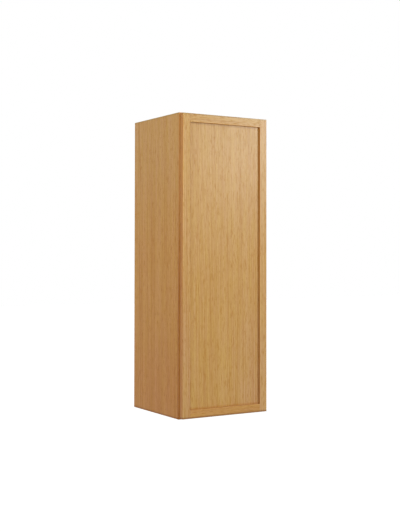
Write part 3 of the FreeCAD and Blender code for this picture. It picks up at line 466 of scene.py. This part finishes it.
# %% [markdown]
# ## Painted shade and light beside the stain
# Real stain runs deeper into edges and end grain, but most tones here are painted light and shade:
# shade in the gap, in the recesses and along the lower arrises, light over shadows and a highlight on an
# arris, a sheen towards the head, and drifts in hue from head to foot that stand in for the light's
# colour. Painting this by hand would need an image, so each of these is a tone: a tint, and the
# stretches along X, Y or Z over which it grows from none to all. Where a face looks matters too,
# because edges drink more stain than broad faces.

# %% Which way a face looks
SQUARE_ON = (0.75, 0.97)


def facing(tree, axis):
    """How far a face looks along an axis: 1 straight along it, -1 straight against it."""
    return coordinate(tree, add(tree, "TexCoord").outputs["Normal"], axis)


def facing_share(tree, axis):
    """1 on the faces square to an axis, 0 on the others, soft over rounded edges."""
    return fade(tree, calc(tree, "ABSOLUTE", facing(tree, axis)), *SQUARE_ON)


def turned_away(tree, axis):
    """How far a face looks away from the cabinet's middle: 1 straight away from it, -1 straight at it."""
    side = calc(tree, "SUBTRACT", coordinate(tree, object_place(tree), axis), cabinet_middle[axis])
    return calc(tree, "MULTIPLY", facing(tree, axis), calc(tree, "SIGN", side))


print("a face counts as square to an axis from", SQUARE_ON[0], "of the way")

# %% Tones, and painted shade at the arrises
# Painted shade, where the gap behind the door, the foot of the panel's recess and the side's front edge lie
# in shadow.
PAINTED_SHADE = (0.86, 0.78, 0.66, 1)
# Heights over which painted shade fades in towards the foot, and painted light towards the head.
LOWER_HALF = (Z, 0.75, 0.30)
UPPER_HALF = (Z, 0.30, 0.75)
FOOT_ARRIS = (0.0075, 0.0030)
HEAD_ARRIS = (-0.0060, -0.0020)


def beside(axis, edge, start, end):
    """A stretch along an axis whose start and end are measured from an edge."""
    return axis, edge + start, edge + end


def toned(tree, colour, tint, *stretches):
    """A tint that grows along each stretch, from none of it at the start to all of it at the end."""
    place = object_place(tree)
    share = 1.0
    for axis, start, end in stretches:
        share = calc(tree, "MULTIPLY", fade(tree, coordinate(tree, place, axis), start, end), share)
    return between(tree, share, colour, stained_and_shaded(tree, colour, tint))


def with_tones(tree, colour, tones):
    """A colour with each of a piece's tones laid over it in turn."""
    for tint, *stretches in (tones or {}).values():
        colour = toned(tree, colour, tint, *stretches)
    return colour


def rimmed(tree, colour, foot, head, foot_shade, head_tint):
    """Painted shade on a board's lower arris, where it faces down, and a thin darker line at the upper one.
    """
    colour = toned(tree, colour, foot_shade, beside(Z, foot, *FOOT_ARRIS))
    return toned(tree, colour, head_tint, beside(Z, head, *HEAD_ARRIS))


# What reaches up from a board's foot is painted shade.
print("stain reaches", 1000 * FOOT_ARRIS[0], "mm up from a board's foot")

# %% [markdown]
# ## The door's frame
# The frame is solid oak. Its two stiles run the full height with upright grain, and the two rails between
# them have grain that runs across, so the corners read as butt joints. Where the saw crossed the fibres,
# at the stiles' ends, the wood is darker and speckled. The outer narrow edges are darker, partly from a
# deeper stain and partly from painted shade towards the gap behind the door. The inner ones, the walls
# of the panel's recess, carry painted shade, and the top rail's lower wall painted light.

# %% Solid oak
# The outer edges: partly a deeper stain on the edge grain, partly painted shade; the reach is how far the
# painted gap shade comes forward from the door's back.
OUTER_STAIN_AND_SHADE = (0.92, 0.69, 0.34, 1)
GAP_SHADE_REACH = 0.015
# Painted shade on the door's down-facing lower arris, and a thin darker line at its upper one.
DOOR_FOOT_SHADE_AND_HEAD_TINT = ((0.62, 0.55, 0.52, 1), (0.84, 0.88, 0.84, 1))
END_SPECKLE, END_SPREAD = (900, 900, 900), (0.35, 0.7)
END_DARK, END_LIGHT = (0.30, 0.145, 0.048, 1), (0.46, 0.25, 0.095, 1)
door_low, door_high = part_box("opening_stile")


def end_grain(tree, colour, axis):
    """Darken the faces that cut across the fibres along one axis."""
    speckle = noise(tree, object_place(tree), END_SPECKLE, detail=2.0)[VALUE]
    deep = between(tree, fade(tree, speckle, *END_SPREAD), END_DARK, END_LIGHT)
    return between(tree, facing_share(tree, axis), colour, deep)


def edge_stain_and_shade(tree, edge_axis, recess_shade_and_light):
    """The tint on a narrow edge: where it looks in, the painted shade and light given for the recess walls
    from foot to head; where it looks out, a deeper stain with painted shade towards the gap.
    """
    height = coordinate(tree, object_place(tree), Z)
    recess = between(tree, fade(tree, height, door_low.z, door_high.z), *recess_shade_and_light)
    outer = toned(tree, OUTER_STAIN_AND_SHADE, PAINTED_SHADE, beside(Y, door_high.y, -GAP_SHADE_REACH, 0.0), LOWER_HALF)
    looks_in = calc(tree, "LESS_THAN", turned_away(tree, edge_axis), 0.0)
    return between(tree, looks_in, outer, recess)


def solid_oak(name, wood, turn, end_axis, edge_axis, recess_shade_and_light, tones):
    """Oak sawn from one plank, with a deeper stain and painted shade and light on its narrow edges, and end
    grain across one axis.
    """
    finish, tree, shader = new_finish(name)
    colour, relief, roughness = wood_surface(tree, sawn_place(tree, name, turn), WOODS[wood])
    colour = with_tones(tree, colour, tones)
    edge = stained_and_shaded(tree, colour, edge_stain_and_shade(tree, edge_axis, recess_shade_and_light))
    colour = between(tree, facing_share(tree, edge_axis), colour, edge)
    colour = end_grain(tree, colour, end_axis)
    colour = rimmed(tree, colour, door_low.z, door_high.z, *DOOR_FOOT_SHADE_AND_HEAD_TINT)
    lacquered(tree, shader, colour, relief, roughness)
    return finish


print("the door is", round(1000 * (door_high.y - door_low.y), 2), "mm thick")

# %% Stiles and rails
panel_left, panel_right = door_high.x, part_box("hinge_stile")[0].x
panel_foot, panel_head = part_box("door_bottom_rail")[1].z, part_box("door_top_rail")[0].z
# Painted shade on the recess walls, at the door's foot and at its head; the rails' wall at the head gets
# painted light instead.
STILE_RECESS_SHADE = ((0.66, 0.47, 0.27, 1), (0.79, 0.58, 0.31, 1))
RAIL_RECESS_SHADE_AND_LIGHT = ((0.94, 0.80, 0.60, 1), (1.60, 1.45, 1.30, 1))
# Each tone: its tint, then the stretches along which it grows.
STILE_TONES = {
    # Painted light: these two hue drifts stand in for the light's colour, cooler towards the foot and with
    # less sheen at the opening side's head.
    "less golden towards the foot": ((1.0, 1.0, 1.24, 1), (Z, 0.50, 0.10)),
    "more golden at the opening side's head": ((1.0, 1.0, 0.88, 1), (Z, 0.50, 0.80), (X, 0.0, door_low.x)),
    # A painted highlight along the outer front arris, in the upper half.
    "painted highlight on the outer front arris": (
        (1.15, 1.18, 1.20, 1), beside(X, door_low.x, 0.005, 0.0), beside(Y, door_low.y, 0.007, 0.0),
        UPPER_HALF),
}
RAIL_TONES = {
    # Painted sheen on the top rail, and the bottom rail redder without it.
    "painted sheen on the top rail": ((1.0, 1.07, 1.05, 1), (Z, cabinet_middle.z, door_high.z)),
    "redder bottom rail": ((1.0, 0.97, 0.94, 1), (Z, cabinet_middle.z, door_low.z)),
    # Painted light on the top rail's lower arris, which lies in shade.
    "painted light on the top rail's lower arris": (
        (1.15, 1.17, 1.18, 1), beside(Z, panel_head, 0.005, 0.0), (Z, cabinet_middle.z, panel_head)),
}
finishes = {
    "oak_stile": solid_oak("oak_stile", "oak", UPRIGHT_FACING_FRONT, end_axis=Z, edge_axis=X,
                           recess_shade_and_light=STILE_RECESS_SHADE, tones=STILE_TONES),
    "oak_rail": solid_oak("oak_rail", "rail_oak", ACROSS_FACING_FRONT, end_axis=X, edge_axis=Z,
                          recess_shade_and_light=RAIL_RECESS_SHADE_AND_LIGHT, tones=RAIL_TONES),
}
print("frame finishes:", ", ".join(finishes))

# %% [markdown]
# ## The panel and the edge bands
# The panel is veneer in one upright sheet, a little plainer than the frame. Painted shade lies along its
# foot and under the top rail, and painted light over the opening stile's shadow beside it. The edge
# bands are narrow strips of oak glued on the front edges of the boards. Their dark tint is painted
# shade from the gap, which makes them the darkest oak here and draws the line between the door and the side.

# %% Veneer for the panel
def veneer(name, wood, turn, tones=None):
    """One sheet of wood, the same on every face but for its tones."""
    finish, tree, shader = new_finish(name)
    colour, relief, roughness = wood_surface(tree, sawn_place(tree, name, turn), WOODS[wood])
    lacquered(tree, shader, with_tones(tree, colour, tones), relief, roughness)
    return finish


PANEL_TONES = {
    # Painted shade at the foot of the recess and a painted shadow under the top rail.
    "painted shade along the foot": (PAINTED_SHADE, beside(Z, panel_foot, 0.009, 0.0)),
    "painted shadow under the top rail": ((0.80, 0.77, 0.72, 1), beside(Z, panel_head, -0.009, -0.003)),
    "a shade deeper towards the head": ((0.965, 0.97, 0.93, 1), beside(Z, panel_head, -0.15, 0.0)),
    # Painted light over the shadow that the opening stile casts on the panel.
    "painted light over the opening stile's shadow": ((1.17, 1.15, 1.12, 1), beside(X, panel_left, 0.014, 0.002)),
    # Painted light: a cooler tint at the lower right stands in for the light's colour.
    "less golden at the lower right": ((1.0, 1.0, 1.30, 1), (X, 0.0, panel_right), (Z, 0.45, 0.15)),
}
finishes["oak_panel"] = veneer("oak_panel", "panel_oak", UPRIGHT_FACING_FRONT, PANEL_TONES)
print("the panel has", len(PANEL_TONES), "tones")

# %% Strips for the edge bands
side_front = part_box("left_side_edge_band")[0].y
BAND_TONES = {
    # Painted light towards the head of the gap, and painted shade at the seam lower down.
    "painted light towards the head": ((1.15, 1.33, 1.96, 1), UPPER_HALF),
    "painted shade at the seam, lower down": (
        (0.50, 0.42, 0.36, 1), beside(Y, side_front, 0.0004, 0.0012), LOWER_HALF),
}
finishes["oak_band_upright"] = veneer("oak_band_upright", "band_oak", UPRIGHT_FACING_FRONT, BAND_TONES)
finishes["oak_band_across"] = veneer("oak_band_across", "band_oak", ACROSS_FACING_FRONT)
print("oak finishes so far:", ", ".join(finishes))

# %% [markdown]
# ## Boards: oak outside, maple inside, plies on the edges
# The box is made of plywood boards faced with oak outside and pale maple inside. A board could be split
# into layers, each with its own material, but one material can serve it whole by asking which way each
# face points. Faces that point away from the cabinet's middle are oak, faces that point into it are
# maple, and the sawn edges and drilled holes between them show the stacked plies.

# %% Plies on a sawn edge
PLIES = 11
PLY_WAVES, PLY_SPECKLE = (14, 14, 14), (420, 420, 420)
PLY_SWAY = 0.5
PLY_SEAM = (0.35, 0.65)
PALE_PLY = ((0.52, 0.35, 0.19, 1), (0.66, 0.48, 0.29, 1))
BROWN_PLY = ((0.27, 0.15, 0.07, 1), (0.42, 0.26, 0.13, 1))
board_low, board_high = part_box("left_side_panel")
ply = (board_high.x - board_low.x) / PLIES


def ply_edge(tree, axis):
    """Thin layers stacked along one axis, long fibres and cut fibres by turns."""
    place = object_place(tree)
    sway = noise(tree, place, PLY_WAVES, detail=2.0)[VALUE]
    level = calc(tree, "MULTIPLY_ADD", sway, PLY_SWAY * ply, coordinate(tree, place, axis))
    seam_start, seam_end = (share * ply for share in PLY_SEAM)
    by_turns = fade(tree, calc(tree, "PINGPONG", level, ply), seam_start, seam_end)
    speckle = noise(tree, place, PLY_SPECKLE, detail=3.0)[VALUE]
    return between(tree, by_turns, between(tree, speckle, *PALE_PLY), between(tree, speckle, *BROWN_PLY))


print("a ply is", round(1000 * ply, 2), "mm thick")

# %% Boards faced on both sides
LOOKS_IN = -0.5
LOOKS_ALONG = 0.3
BOARD_SHINE = 0.08
SAWN_DULLNESS = 0.3


def faced_board(name, wood, turn, axis, tones=None, arris_shade_and_tint=None, dullness=0.0):
    """One wood on the faces that look out along an axis, maple on those that look in, plies between."""
    finish, tree, shader = new_finish(name)
    place = sawn_place(tree, name, turn)
    outer, relief, roughness = wood_surface(tree, place, WOODS[wood])
    outer = with_tones(tree, outer, tones)
    if arris_shade_and_tint:
        outer = rimmed(tree, outer, cad_low.z, cad_high.z, *arris_shade_and_tint)
    inner = wood_surface(tree, place, WOODS["maple"])[0]
    away = turned_away(tree, axis)
    colour = between(tree, calc(tree, "LESS_THAN", away, LOOKS_IN), outer, inner)
    sawn = calc(tree, "LESS_THAN", calc(tree, "ABSOLUTE", away), LOOKS_ALONG)
    colour = between(tree, sawn, colour, ply_edge(tree, axis))
    roughness = calc(tree, "ADD", roughness, dullness)
    roughness = calc(tree, "MULTIPLY_ADD", sawn, SAWN_DULLNESS, roughness, clamp=True)
    lacquered(tree, shader, colour, relief, roughness, shine=BOARD_SHINE)
    return finish


print("a face that looks along the board shows its plies")

# %% Sides, top and bottom
SIDE_TONES = {
    # Painted shade along the front by the gap, at the seam lower down and towards the foot, and painted
    # sheen towards the head.
    "painted gap shade towards the front": (PAINTED_SHADE, beside(Y, side_front, 0.012, 0.0)),
    "painted shade at the seam, lower down": (
        (0.66, 0.50, 0.42, 1), beside(Y, side_front, 0.0080, 0.0025), LOWER_HALF),
    "painted shade, redder towards the foot": ((0.95, 0.86, 0.88, 1), (Z, 0.42, cad_low.z)),
    "painted light towards the head": ((1.02, 1.14, 1.42, 1), (Z, 0.40, cad_high.z)),
    "paler towards the wall": ((1.06, 1.08, 1.12, 1), (Y, -0.20, -0.02)),
}
# Painted shade on the side's lower arris, and a thin darker line at its upper one.
SIDE_FOOT_SHADE_AND_HEAD_TINT = ((0.72, 0.66, 0.62, 1), (0.84, 0.90, 0.84, 1))
UNSEEN_DULLNESS = 0.30
finishes["oak_side"] = faced_board("oak_side", "side_oak", UPRIGHT_FACING_SIDE, X,
                                   tones=SIDE_TONES, arris_shade_and_tint=SIDE_FOOT_SHADE_AND_HEAD_TINT)
finishes["oak_board"] = faced_board("oak_board", "oak", ACROSS_FACING_UP, Z, dullness=UNSEEN_DULLNESS)
print("boards: oak outside, maple inside")

# %% [markdown]
# ## Shelves, back, hanging rails and dowels
# What is inside and behind is plainer. The shelves and the back are faced with maple, and the hanging
# rails are pine, whose rings are broad and strong. The dowels are beech, which is as pale and even as
# maple, so they share its recipe. All of them are the same wood on every face, so the panel's veneer
# serves for them too.

# %% Plain woods
PLAIN_WOODS = {
    "shelf_board": ("maple", ACROSS_FACING_UP),
    "back_board": ("maple", UPRIGHT_FACING_FRONT),
    "hanging_rail": ("pine", ACROSS_FACING_FRONT),
    "beech_dowel": ("maple", ACROSS_FACING_FRONT),
}
for name, (wood, turn) in PLAIN_WOODS.items():
    finishes[name] = veneer(name, wood, turn)
print("wooden finishes:", len(finishes))

# %% [markdown]
# ## Plated steel
# Hinges and fasteners are pressed or turned steel under a thin plating. Plain metal at one roughness
# looks like chrome plastic, so the plating gets cloudy smudges, which change its tint and its gloss, and
# a fine brushing.

# %% Metal finishes
METALS = {
    "nickel_hinge": {"bright": (0.66, 0.64, 0.60, 1), "dull": (0.56, 0.54, 0.50, 1),
                     "shine": 0.22, "haze": 0.36, "scratches": 0.25},
    "fastener_steel": {"bright": (0.60, 0.61, 0.62, 1), "dull": (0.48, 0.48, 0.48, 1),
                       "shine": 0.26, "haze": 0.42, "scratches": 0.3},
    "cam_zinc": {"bright": (0.55, 0.55, 0.55, 1), "dull": (0.42, 0.42, 0.43, 1),
                 "shine": 0.38, "haze": 0.55, "scratches": 0.5},
    "peg_steel": {"bright": (0.66, 0.64, 0.60, 1), "dull": (0.54, 0.52, 0.48, 1),
                  "shine": 0.20, "haze": 0.34, "scratches": 0.2},
}
CLOUDS, BRUSHING = (60, 60, 60), (300, 2500, 2500)
TINT_SPREAD, GLOSS_SPREAD = (0.3, 0.7), (0.25, 0.75)
SCRATCH_DEPTH = 0.00003


def plated(name, bright, dull, shine, haze, scratches):
    """Plated metal with cloudy gloss and fine scratches."""
    finish, tree, shader = new_finish(name)
    clouds = noise(tree, object_place(tree), CLOUDS, detail=4.0)[VALUE]
    lines = noise(tree, object_place(tree), BRUSHING, detail=2.0)[VALUE]
    put(tree, shader.inputs["Base Color"], between(tree, fade(tree, clouds, *TINT_SPREAD), dull, bright))
    put(tree, shader.inputs["Roughness"], fade(tree, clouds, *GLOSS_SPREAD, haze, shine))
    bump = add(tree, "Bump", {"Height": lines, "Distance": SCRATCH_DEPTH, "Strength": scratches})
    put(tree, shader.inputs["Normal"], bump.outputs[0])
    shader.inputs["Metallic"].default_value = 1.0
    return finish


for name, metal in METALS.items():
    finishes[name] = plated(name, **metal)
print("metal finishes:", ", ".join(METALS))

# %% [markdown]
# ## Soft dots
# The dots between the door and the box are a clear polymer that has gone a little milky. Glass would be
# too clean, so only about half of the light goes through, and a fine noise clouds the rest.

# %% Clear polymer
MILK = (400, 400, 400)
MILK_TINTS = ((0.80, 0.80, 0.77, 1), (0.88, 0.88, 0.86, 1))
MILK_SPREAD, DOT_ROUGHNESS = (0.3, 0.7), (0.18, 0.30)
DOT_CLEARNESS = 0.55
POLYMER_IOR = 1.46

dot_finish, tree, shader = new_finish("clear_bumper")
milk = noise(tree, object_place(tree), MILK, detail=2.0)[VALUE]
put(tree, shader.inputs["Base Color"], between(tree, milk, *MILK_TINTS))
put(tree, shader.inputs["Roughness"], fade(tree, milk, *MILK_SPREAD, *DOT_ROUGHNESS))
shader.inputs["Transmission Weight"].default_value = DOT_CLEARNESS
shader.inputs["IOR"].default_value = POLYMER_IOR
finishes["clear_bumper"] = dot_finish
print("finishes in all:", len(finishes))

# %% [markdown]
# ## Dress the frame
# Each piece of the frame names the slot that its finish belongs to, so one loop dresses the whole
# cabinet.

# %% Give every piece its finish
for piece in frame["record"]["subparts"]:
    mesh = frame["nodes"][piece["node"]].data
    mesh.materials.clear()
    mesh.materials.append(finishes[piece["material_slot"]])

# %% [markdown]
# ## Rolled edges on pressed metal
# Hinges and pegs are cut and pressed from steel. The frame has their true outlines, but with knife-sharp
# edges, and a real press rolls every edge over by a tenth of a millimetre or two. That thin line catches
# the light and is what makes metal look like metal. Modelling the pieces anew would lose the exact
# outlines, so each one is a copy of the frame's own mesh: its loose triangles are joined, its flat faces
# cleaned, and a Bevel modifier rolls the corners. The widths are what the narrowest walls of each piece
# leave room for.

# %% Stand-ins for frame pieces
slots = {piece["node"]: piece["material_slot"] for piece in frame["record"]["subparts"]}
rides_on = {node: body for body, nodes in frame["record"]["behaviour"]["bodies"].items() for node in nodes}


def stand_in(piece, node):
    """Dress a modelled piece like the frame piece it stands for, and let it move with the same body."""
    piece.data.materials.clear()
    piece.data.materials.append(finishes[slots[node]])
    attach(piece, rides_on[node])
    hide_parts(node)


print("bodies to ride on:", ", ".join(sorted(set(rides_on.values()))))

# %% Clean a copy of a frame piece
MERGE_DISTANCE = 1e-6
FLAT_ANGLE = math.radians(1.0)


def pick(piece):
    """Make one object the only one selected, and active."""
    bpy.ops.object.select_all(action="DESELECT")
    piece.select_set(True)
    bpy.context.view_layer.objects.active = piece


def clean_copy(node, name):
    """A copy of a frame piece as one joined mesh, with each flat face in one."""
    piece = bpy.data.objects.new(name, frame["nodes"][node].data.copy())
    bpy.context.scene.collection.objects.link(piece)
    pick(piece)
    bpy.ops.mesh.customdata_custom_splitnormals_clear()
    bpy.ops.object.mode_set(mode="EDIT")
    bpy.ops.mesh.select_all(action="SELECT")
    bpy.ops.mesh.remove_doubles(threshold=MERGE_DISTANCE)
    bpy.ops.mesh.dissolve_limited(angle_limit=FLAT_ANGLE)
    bpy.ops.object.mode_set(mode="OBJECT")
    bpy.ops.object.shade_smooth()
    return piece


print("faces within", round(math.degrees(FLAT_ANGLE)), "degree of each other become one")

# %% Roll the edges
CORNER_ANGLE = math.radians(35.0)
ROLL_SEGMENTS = 2
ROLLS = {"hinge_cup": 0.00006, "hinge_plate": 0.00018, "hinge_arm": 0.00010, "hinge_short_links": 0.00008,
         "hinge_long_link": 0.00020, "shelf_pegs": 0.00014}
# The pegs' round ends have short edges, which would hold a clamped roll back, but none that could cross.
UNCLAMPED = ("shelf_pegs",)
LEVELS = ("upper", "lower")


def rolled(node, width, clamped):
    """A copy of a frame piece with its corners rolled by a small width, clamped where edges lie close."""
    piece = clean_copy(node, node + ".rolled")
    roll = piece.modifiers.new("roll", "BEVEL")
    roll.width = width
    roll.segments = ROLL_SEGMENTS
    roll.limit_method = "ANGLE"
    roll.angle_limit = CORNER_ANGLE
    roll.harden_normals = True
    roll.use_clamp_overlap = clamped
    bpy.ops.object.modifier_apply(modifier=roll.name)
    stand_in(piece, node)
    return piece


for level in LEVELS:
    for name, width in ROLLS.items():
        piece = rolled(f"{level}_{name}", width, clamped=name not in UNCLAMPED)
        print(piece.name, "has", len(piece.data.polygons), "faces")

# %% [markdown]
# ## Screws
# Twelve small screws hold the hinges and set them. Each has a low dome with a cross for the driver, and a
# threaded shank. The dome is a disc extruded in rings that grow narrower, and two wedges cut the cross. A
# helix is slow to draw by hand, so the thread is one zigzag line that the Screw modifier winds round: a
# turn climbs exactly one zigzag, so each turn meets the next. One screw of each kind is modelled, then
# copied to its places.

# %% A dome
SIDES = 32
# Each ring of the dome: its height and its width, as shares of the whole.
DOME = ((0.35, 1.0), (0.70, 0.94), (0.92, 0.78), (1.0, 0.52))


def domed_head(radius, height):
    """A low dome that stands on z = 0, from a disc extruded in rings."""
    bpy.ops.object.select_all(action="DESELECT")
    bpy.ops.mesh.primitive_circle_add(vertices=SIDES, radius=radius, fill_type="NGON")
    head = bpy.context.object
    bpy.ops.object.mode_set(mode="EDIT")
    bpy.ops.mesh.select_all(action="SELECT")
    level, width = 0.0, 1.0
    for next_level, next_width in DOME:
        rise = (next_level - level) * height
        bpy.ops.mesh.extrude_region_move(TRANSFORM_OT_translate={"value": (0, 0, rise)})
        share = next_width / width
        bpy.ops.transform.resize(value=(share, share, 1))
        level, width = next_level, next_width
    bpy.ops.mesh.select_all(action="SELECT")
    bpy.ops.mesh.normals_make_consistent(inside=False)
    bpy.ops.object.mode_set(mode="OBJECT")
    return head


print("a dome has", len(DOME), "rings of", SIDES, "sides")

# %% A cross for the driver
# The cross: the reach and width of its slots as shares of the head's radius, their depth of its height.
CROSS_REACH, CROSS_WIDTH, CROSS_DEPTH = 0.62, 0.20, 0.75
WEDGE_TAPER = (0.45, 0.7, 1)
LOOKS_DOWN = -0.5


def cut_slot(head, radius, height, turn):
    """One slot across the top of a dome, cut by a wedge whose lower face is drawn in."""
    bpy.ops.object.select_all(action="DESELECT")
    bpy.ops.mesh.primitive_cube_add(size=1, location=(0, 0, height))
    wedge = bpy.context.object
    wedge.scale = (2 * CROSS_REACH * radius, CROSS_WIDTH * radius, 2 * CROSS_DEPTH * height)
    bpy.ops.object.transform_apply(scale=True)
    bpy.ops.object.mode_set(mode="EDIT")
    bpy.ops.mesh.select_mode(type="FACE")
    bpy.ops.mesh.select_all(action="DESELECT")
    bpy.ops.object.mode_set(mode="OBJECT")
    for face in wedge.data.polygons:
        face.select = face.normal.z < LOOKS_DOWN
    bpy.ops.object.mode_set(mode="EDIT")
    bpy.ops.transform.resize(value=WEDGE_TAPER)
    bpy.ops.object.mode_set(mode="OBJECT")
    wedge.rotation_euler.z = turn
    cut = head.modifiers.new("cut", "BOOLEAN")
    cut.operation = "DIFFERENCE"
    cut.solver = "EXACT"
    cut.object = wedge
    pick(head)
    bpy.ops.object.modifier_apply(modifier=cut.name)
    bpy.data.objects.remove(wedge)


print("a slot is", CROSS_DEPTH, "of the head deep")

# %% A zigzag line
# One zigzag: how far out, as a share of the thread's depth, and how far down, as a share of the pitch.
ZIGZAG = ((1.0, 0.30), (0.0, 0.10), (-1.0, 0.30), (0.0, 0.30))
ROOT_SHARE = 0.76


def zigzag_line(crest, length, pitch):
    """A line that hangs down from z = 0 and zigzags once to the pitch, from a plane merged to one point."""
    root = ROOT_SHARE * crest
    bpy.ops.object.select_all(action="DESELECT")
    bpy.ops.mesh.primitive_plane_add(size=crest)
    line = bpy.context.object
    bpy.ops.object.mode_set(mode="EDIT")
    bpy.ops.mesh.select_mode(type="VERT")
    bpy.ops.mesh.select_all(action="SELECT")
    bpy.ops.mesh.merge(type="CENTER")
    bpy.ops.transform.translate(value=(root, 0, 0))
    for _ in range(int(length / pitch) - 1):
        for out, down in ZIGZAG:
            step = (out * (crest - root), 0, -down * pitch)
            bpy.ops.mesh.extrude_vertices_move(TRANSFORM_OT_translate={"value": step})
    bpy.ops.object.mode_set(mode="OBJECT")
    return line


print("a zigzag has", len(ZIGZAG), "strokes")

# %% A wound thread
THREAD_STEPS = 24
TIP_SHARE = 0.35
TIP_LENGTH = 0.0025


def wound_thread(crest, length, pitch):
    """A threaded shank that hangs down from z = 0, narrower at its tip."""
    thread = zigzag_line(crest, length, pitch)
    wind = thread.modifiers.new("wind", "SCREW")
    wind.axis = "Z"
    wind.screw_offset = -pitch
    wind.steps = wind.render_steps = THREAD_STEPS
    bpy.ops.object.modifier_apply(modifier=wind.name)
    bpy.ops.object.mode_set(mode="EDIT")
    bpy.ops.mesh.select_all(action="SELECT")
    bpy.ops.mesh.remove_doubles(threshold=MERGE_DISTANCE)
    bpy.ops.mesh.fill_holes(sides=0)
    bpy.ops.mesh.normals_make_consistent(inside=False)
    bpy.ops.object.mode_set(mode="OBJECT")
    # The twisted ends can turn the whole shank inside out. Its volume is then negative.
    if sum(face.area * face.normal.dot(face.center) for face in thread.data.polygons) < 0:
        thread.data.flip_normals()
    tip = min(vertex.co.z for vertex in thread.data.vertices)
    for vertex in thread.data.vertices:
        near_tip = max(0.0, 1 - (vertex.co.z - tip) / TIP_LENGTH)
        vertex.co.xy *= 1 - (1 - TIP_SHARE) * near_tip
    return thread


print("a turn of the thread has", THREAD_STEPS, "steps")

# %% A whole screw
HEAD_HEIGHT = 0.0012


def screw(head_radius, crest, length, pitch):
    """A whole screw: its dome stands on z = 0 and its shank hangs below."""
    head = domed_head(head_radius, HEAD_HEIGHT)
    for turn in (0, QUARTER):
        cut_slot(head, head_radius, HEAD_HEIGHT, turn)
    thread = wound_thread(crest, length, pitch)
    pick(head)
    thread.select_set(True)
    bpy.ops.object.join()
    bpy.ops.object.shade_smooth_by_angle(angle=CORNER_ANGLE)
    return head


print("a head stands", 1000 * HEAD_HEIGHT, "mm high")

# %% Kinds of screw
FACING_BACK = (-QUARTER, 0, 0)
FACING_LEFT = (0, -QUARTER, 0)
# Each kind: the axis it is driven along, the axis that parts the pair, how its head is turned, and its
# thread's crest and pitch.
SCREWS = {
    "hinge_cup_screws": (Y, Z, FACING_BACK, 0.00175, 0.0014),
    "hinge_plate_screws": (X, Z, FACING_LEFT, 0.00245, 0.0018),
    "hinge_adjusting_screws": (X, Y, FACING_LEFT, 0.0020, 0.0008),
}


def head_radius_of(node, along, apart):
    """The radius of a pair's heads, measured along the third axis."""
    low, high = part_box(node)
    across = X + Y + Z - along - apart
    return (high[across] - low[across]) / 2


print("kinds of screw:", ", ".join(SCREWS))

# %% Drive the screws
SPIN_STEP = 1.1


def drive_pair(model, node, along, apart, turn):
    """Two copies of a screw where the frame has them, each turned a little further, as one piece."""
    low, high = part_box(node)
    radius = head_radius_of(node, along, apart)
    pair = []
    for number, spot in enumerate((low[apart] + radius, high[apart] - radius)):
        place = (low + high) / 2
        place[apart] = spot
        place[along] = high[along] - HEAD_HEIGHT if turn == FACING_BACK else low[along] + HEAD_HEIGHT
        spin = Matrix.Rotation(SPIN_STEP * (number + 1), 4, "Z")
        copy = bpy.data.objects.new(f"{node}.turned", model.data.copy())
        bpy.context.scene.collection.objects.link(copy)
        copy.matrix_world = Matrix.Translation(place) @ Euler(turn).to_matrix().to_4x4() @ spin
        pair.append(copy)
    pick(pair[0])
    pair[1].select_set(True)
    bpy.ops.object.transform_apply(location=True, rotation=True, scale=True)
    bpy.ops.object.join()
    stand_in(pair[0], node)
    return pair[0]


for kind, (along, apart, turn, crest, pitch) in SCREWS.items():
    low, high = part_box("upper_" + kind)
    radius = head_radius_of("upper_" + kind, along, apart)
    model = screw(radius, crest, high[along] - low[along] - HEAD_HEIGHT, pitch)
    for level in LEVELS:
        pair = drive_pair(model, f"{level}_{kind}", along, apart, turn)
        print(pair.name, "has", len(pair.data.polygons), "faces")
    bpy.data.objects.remove(model)
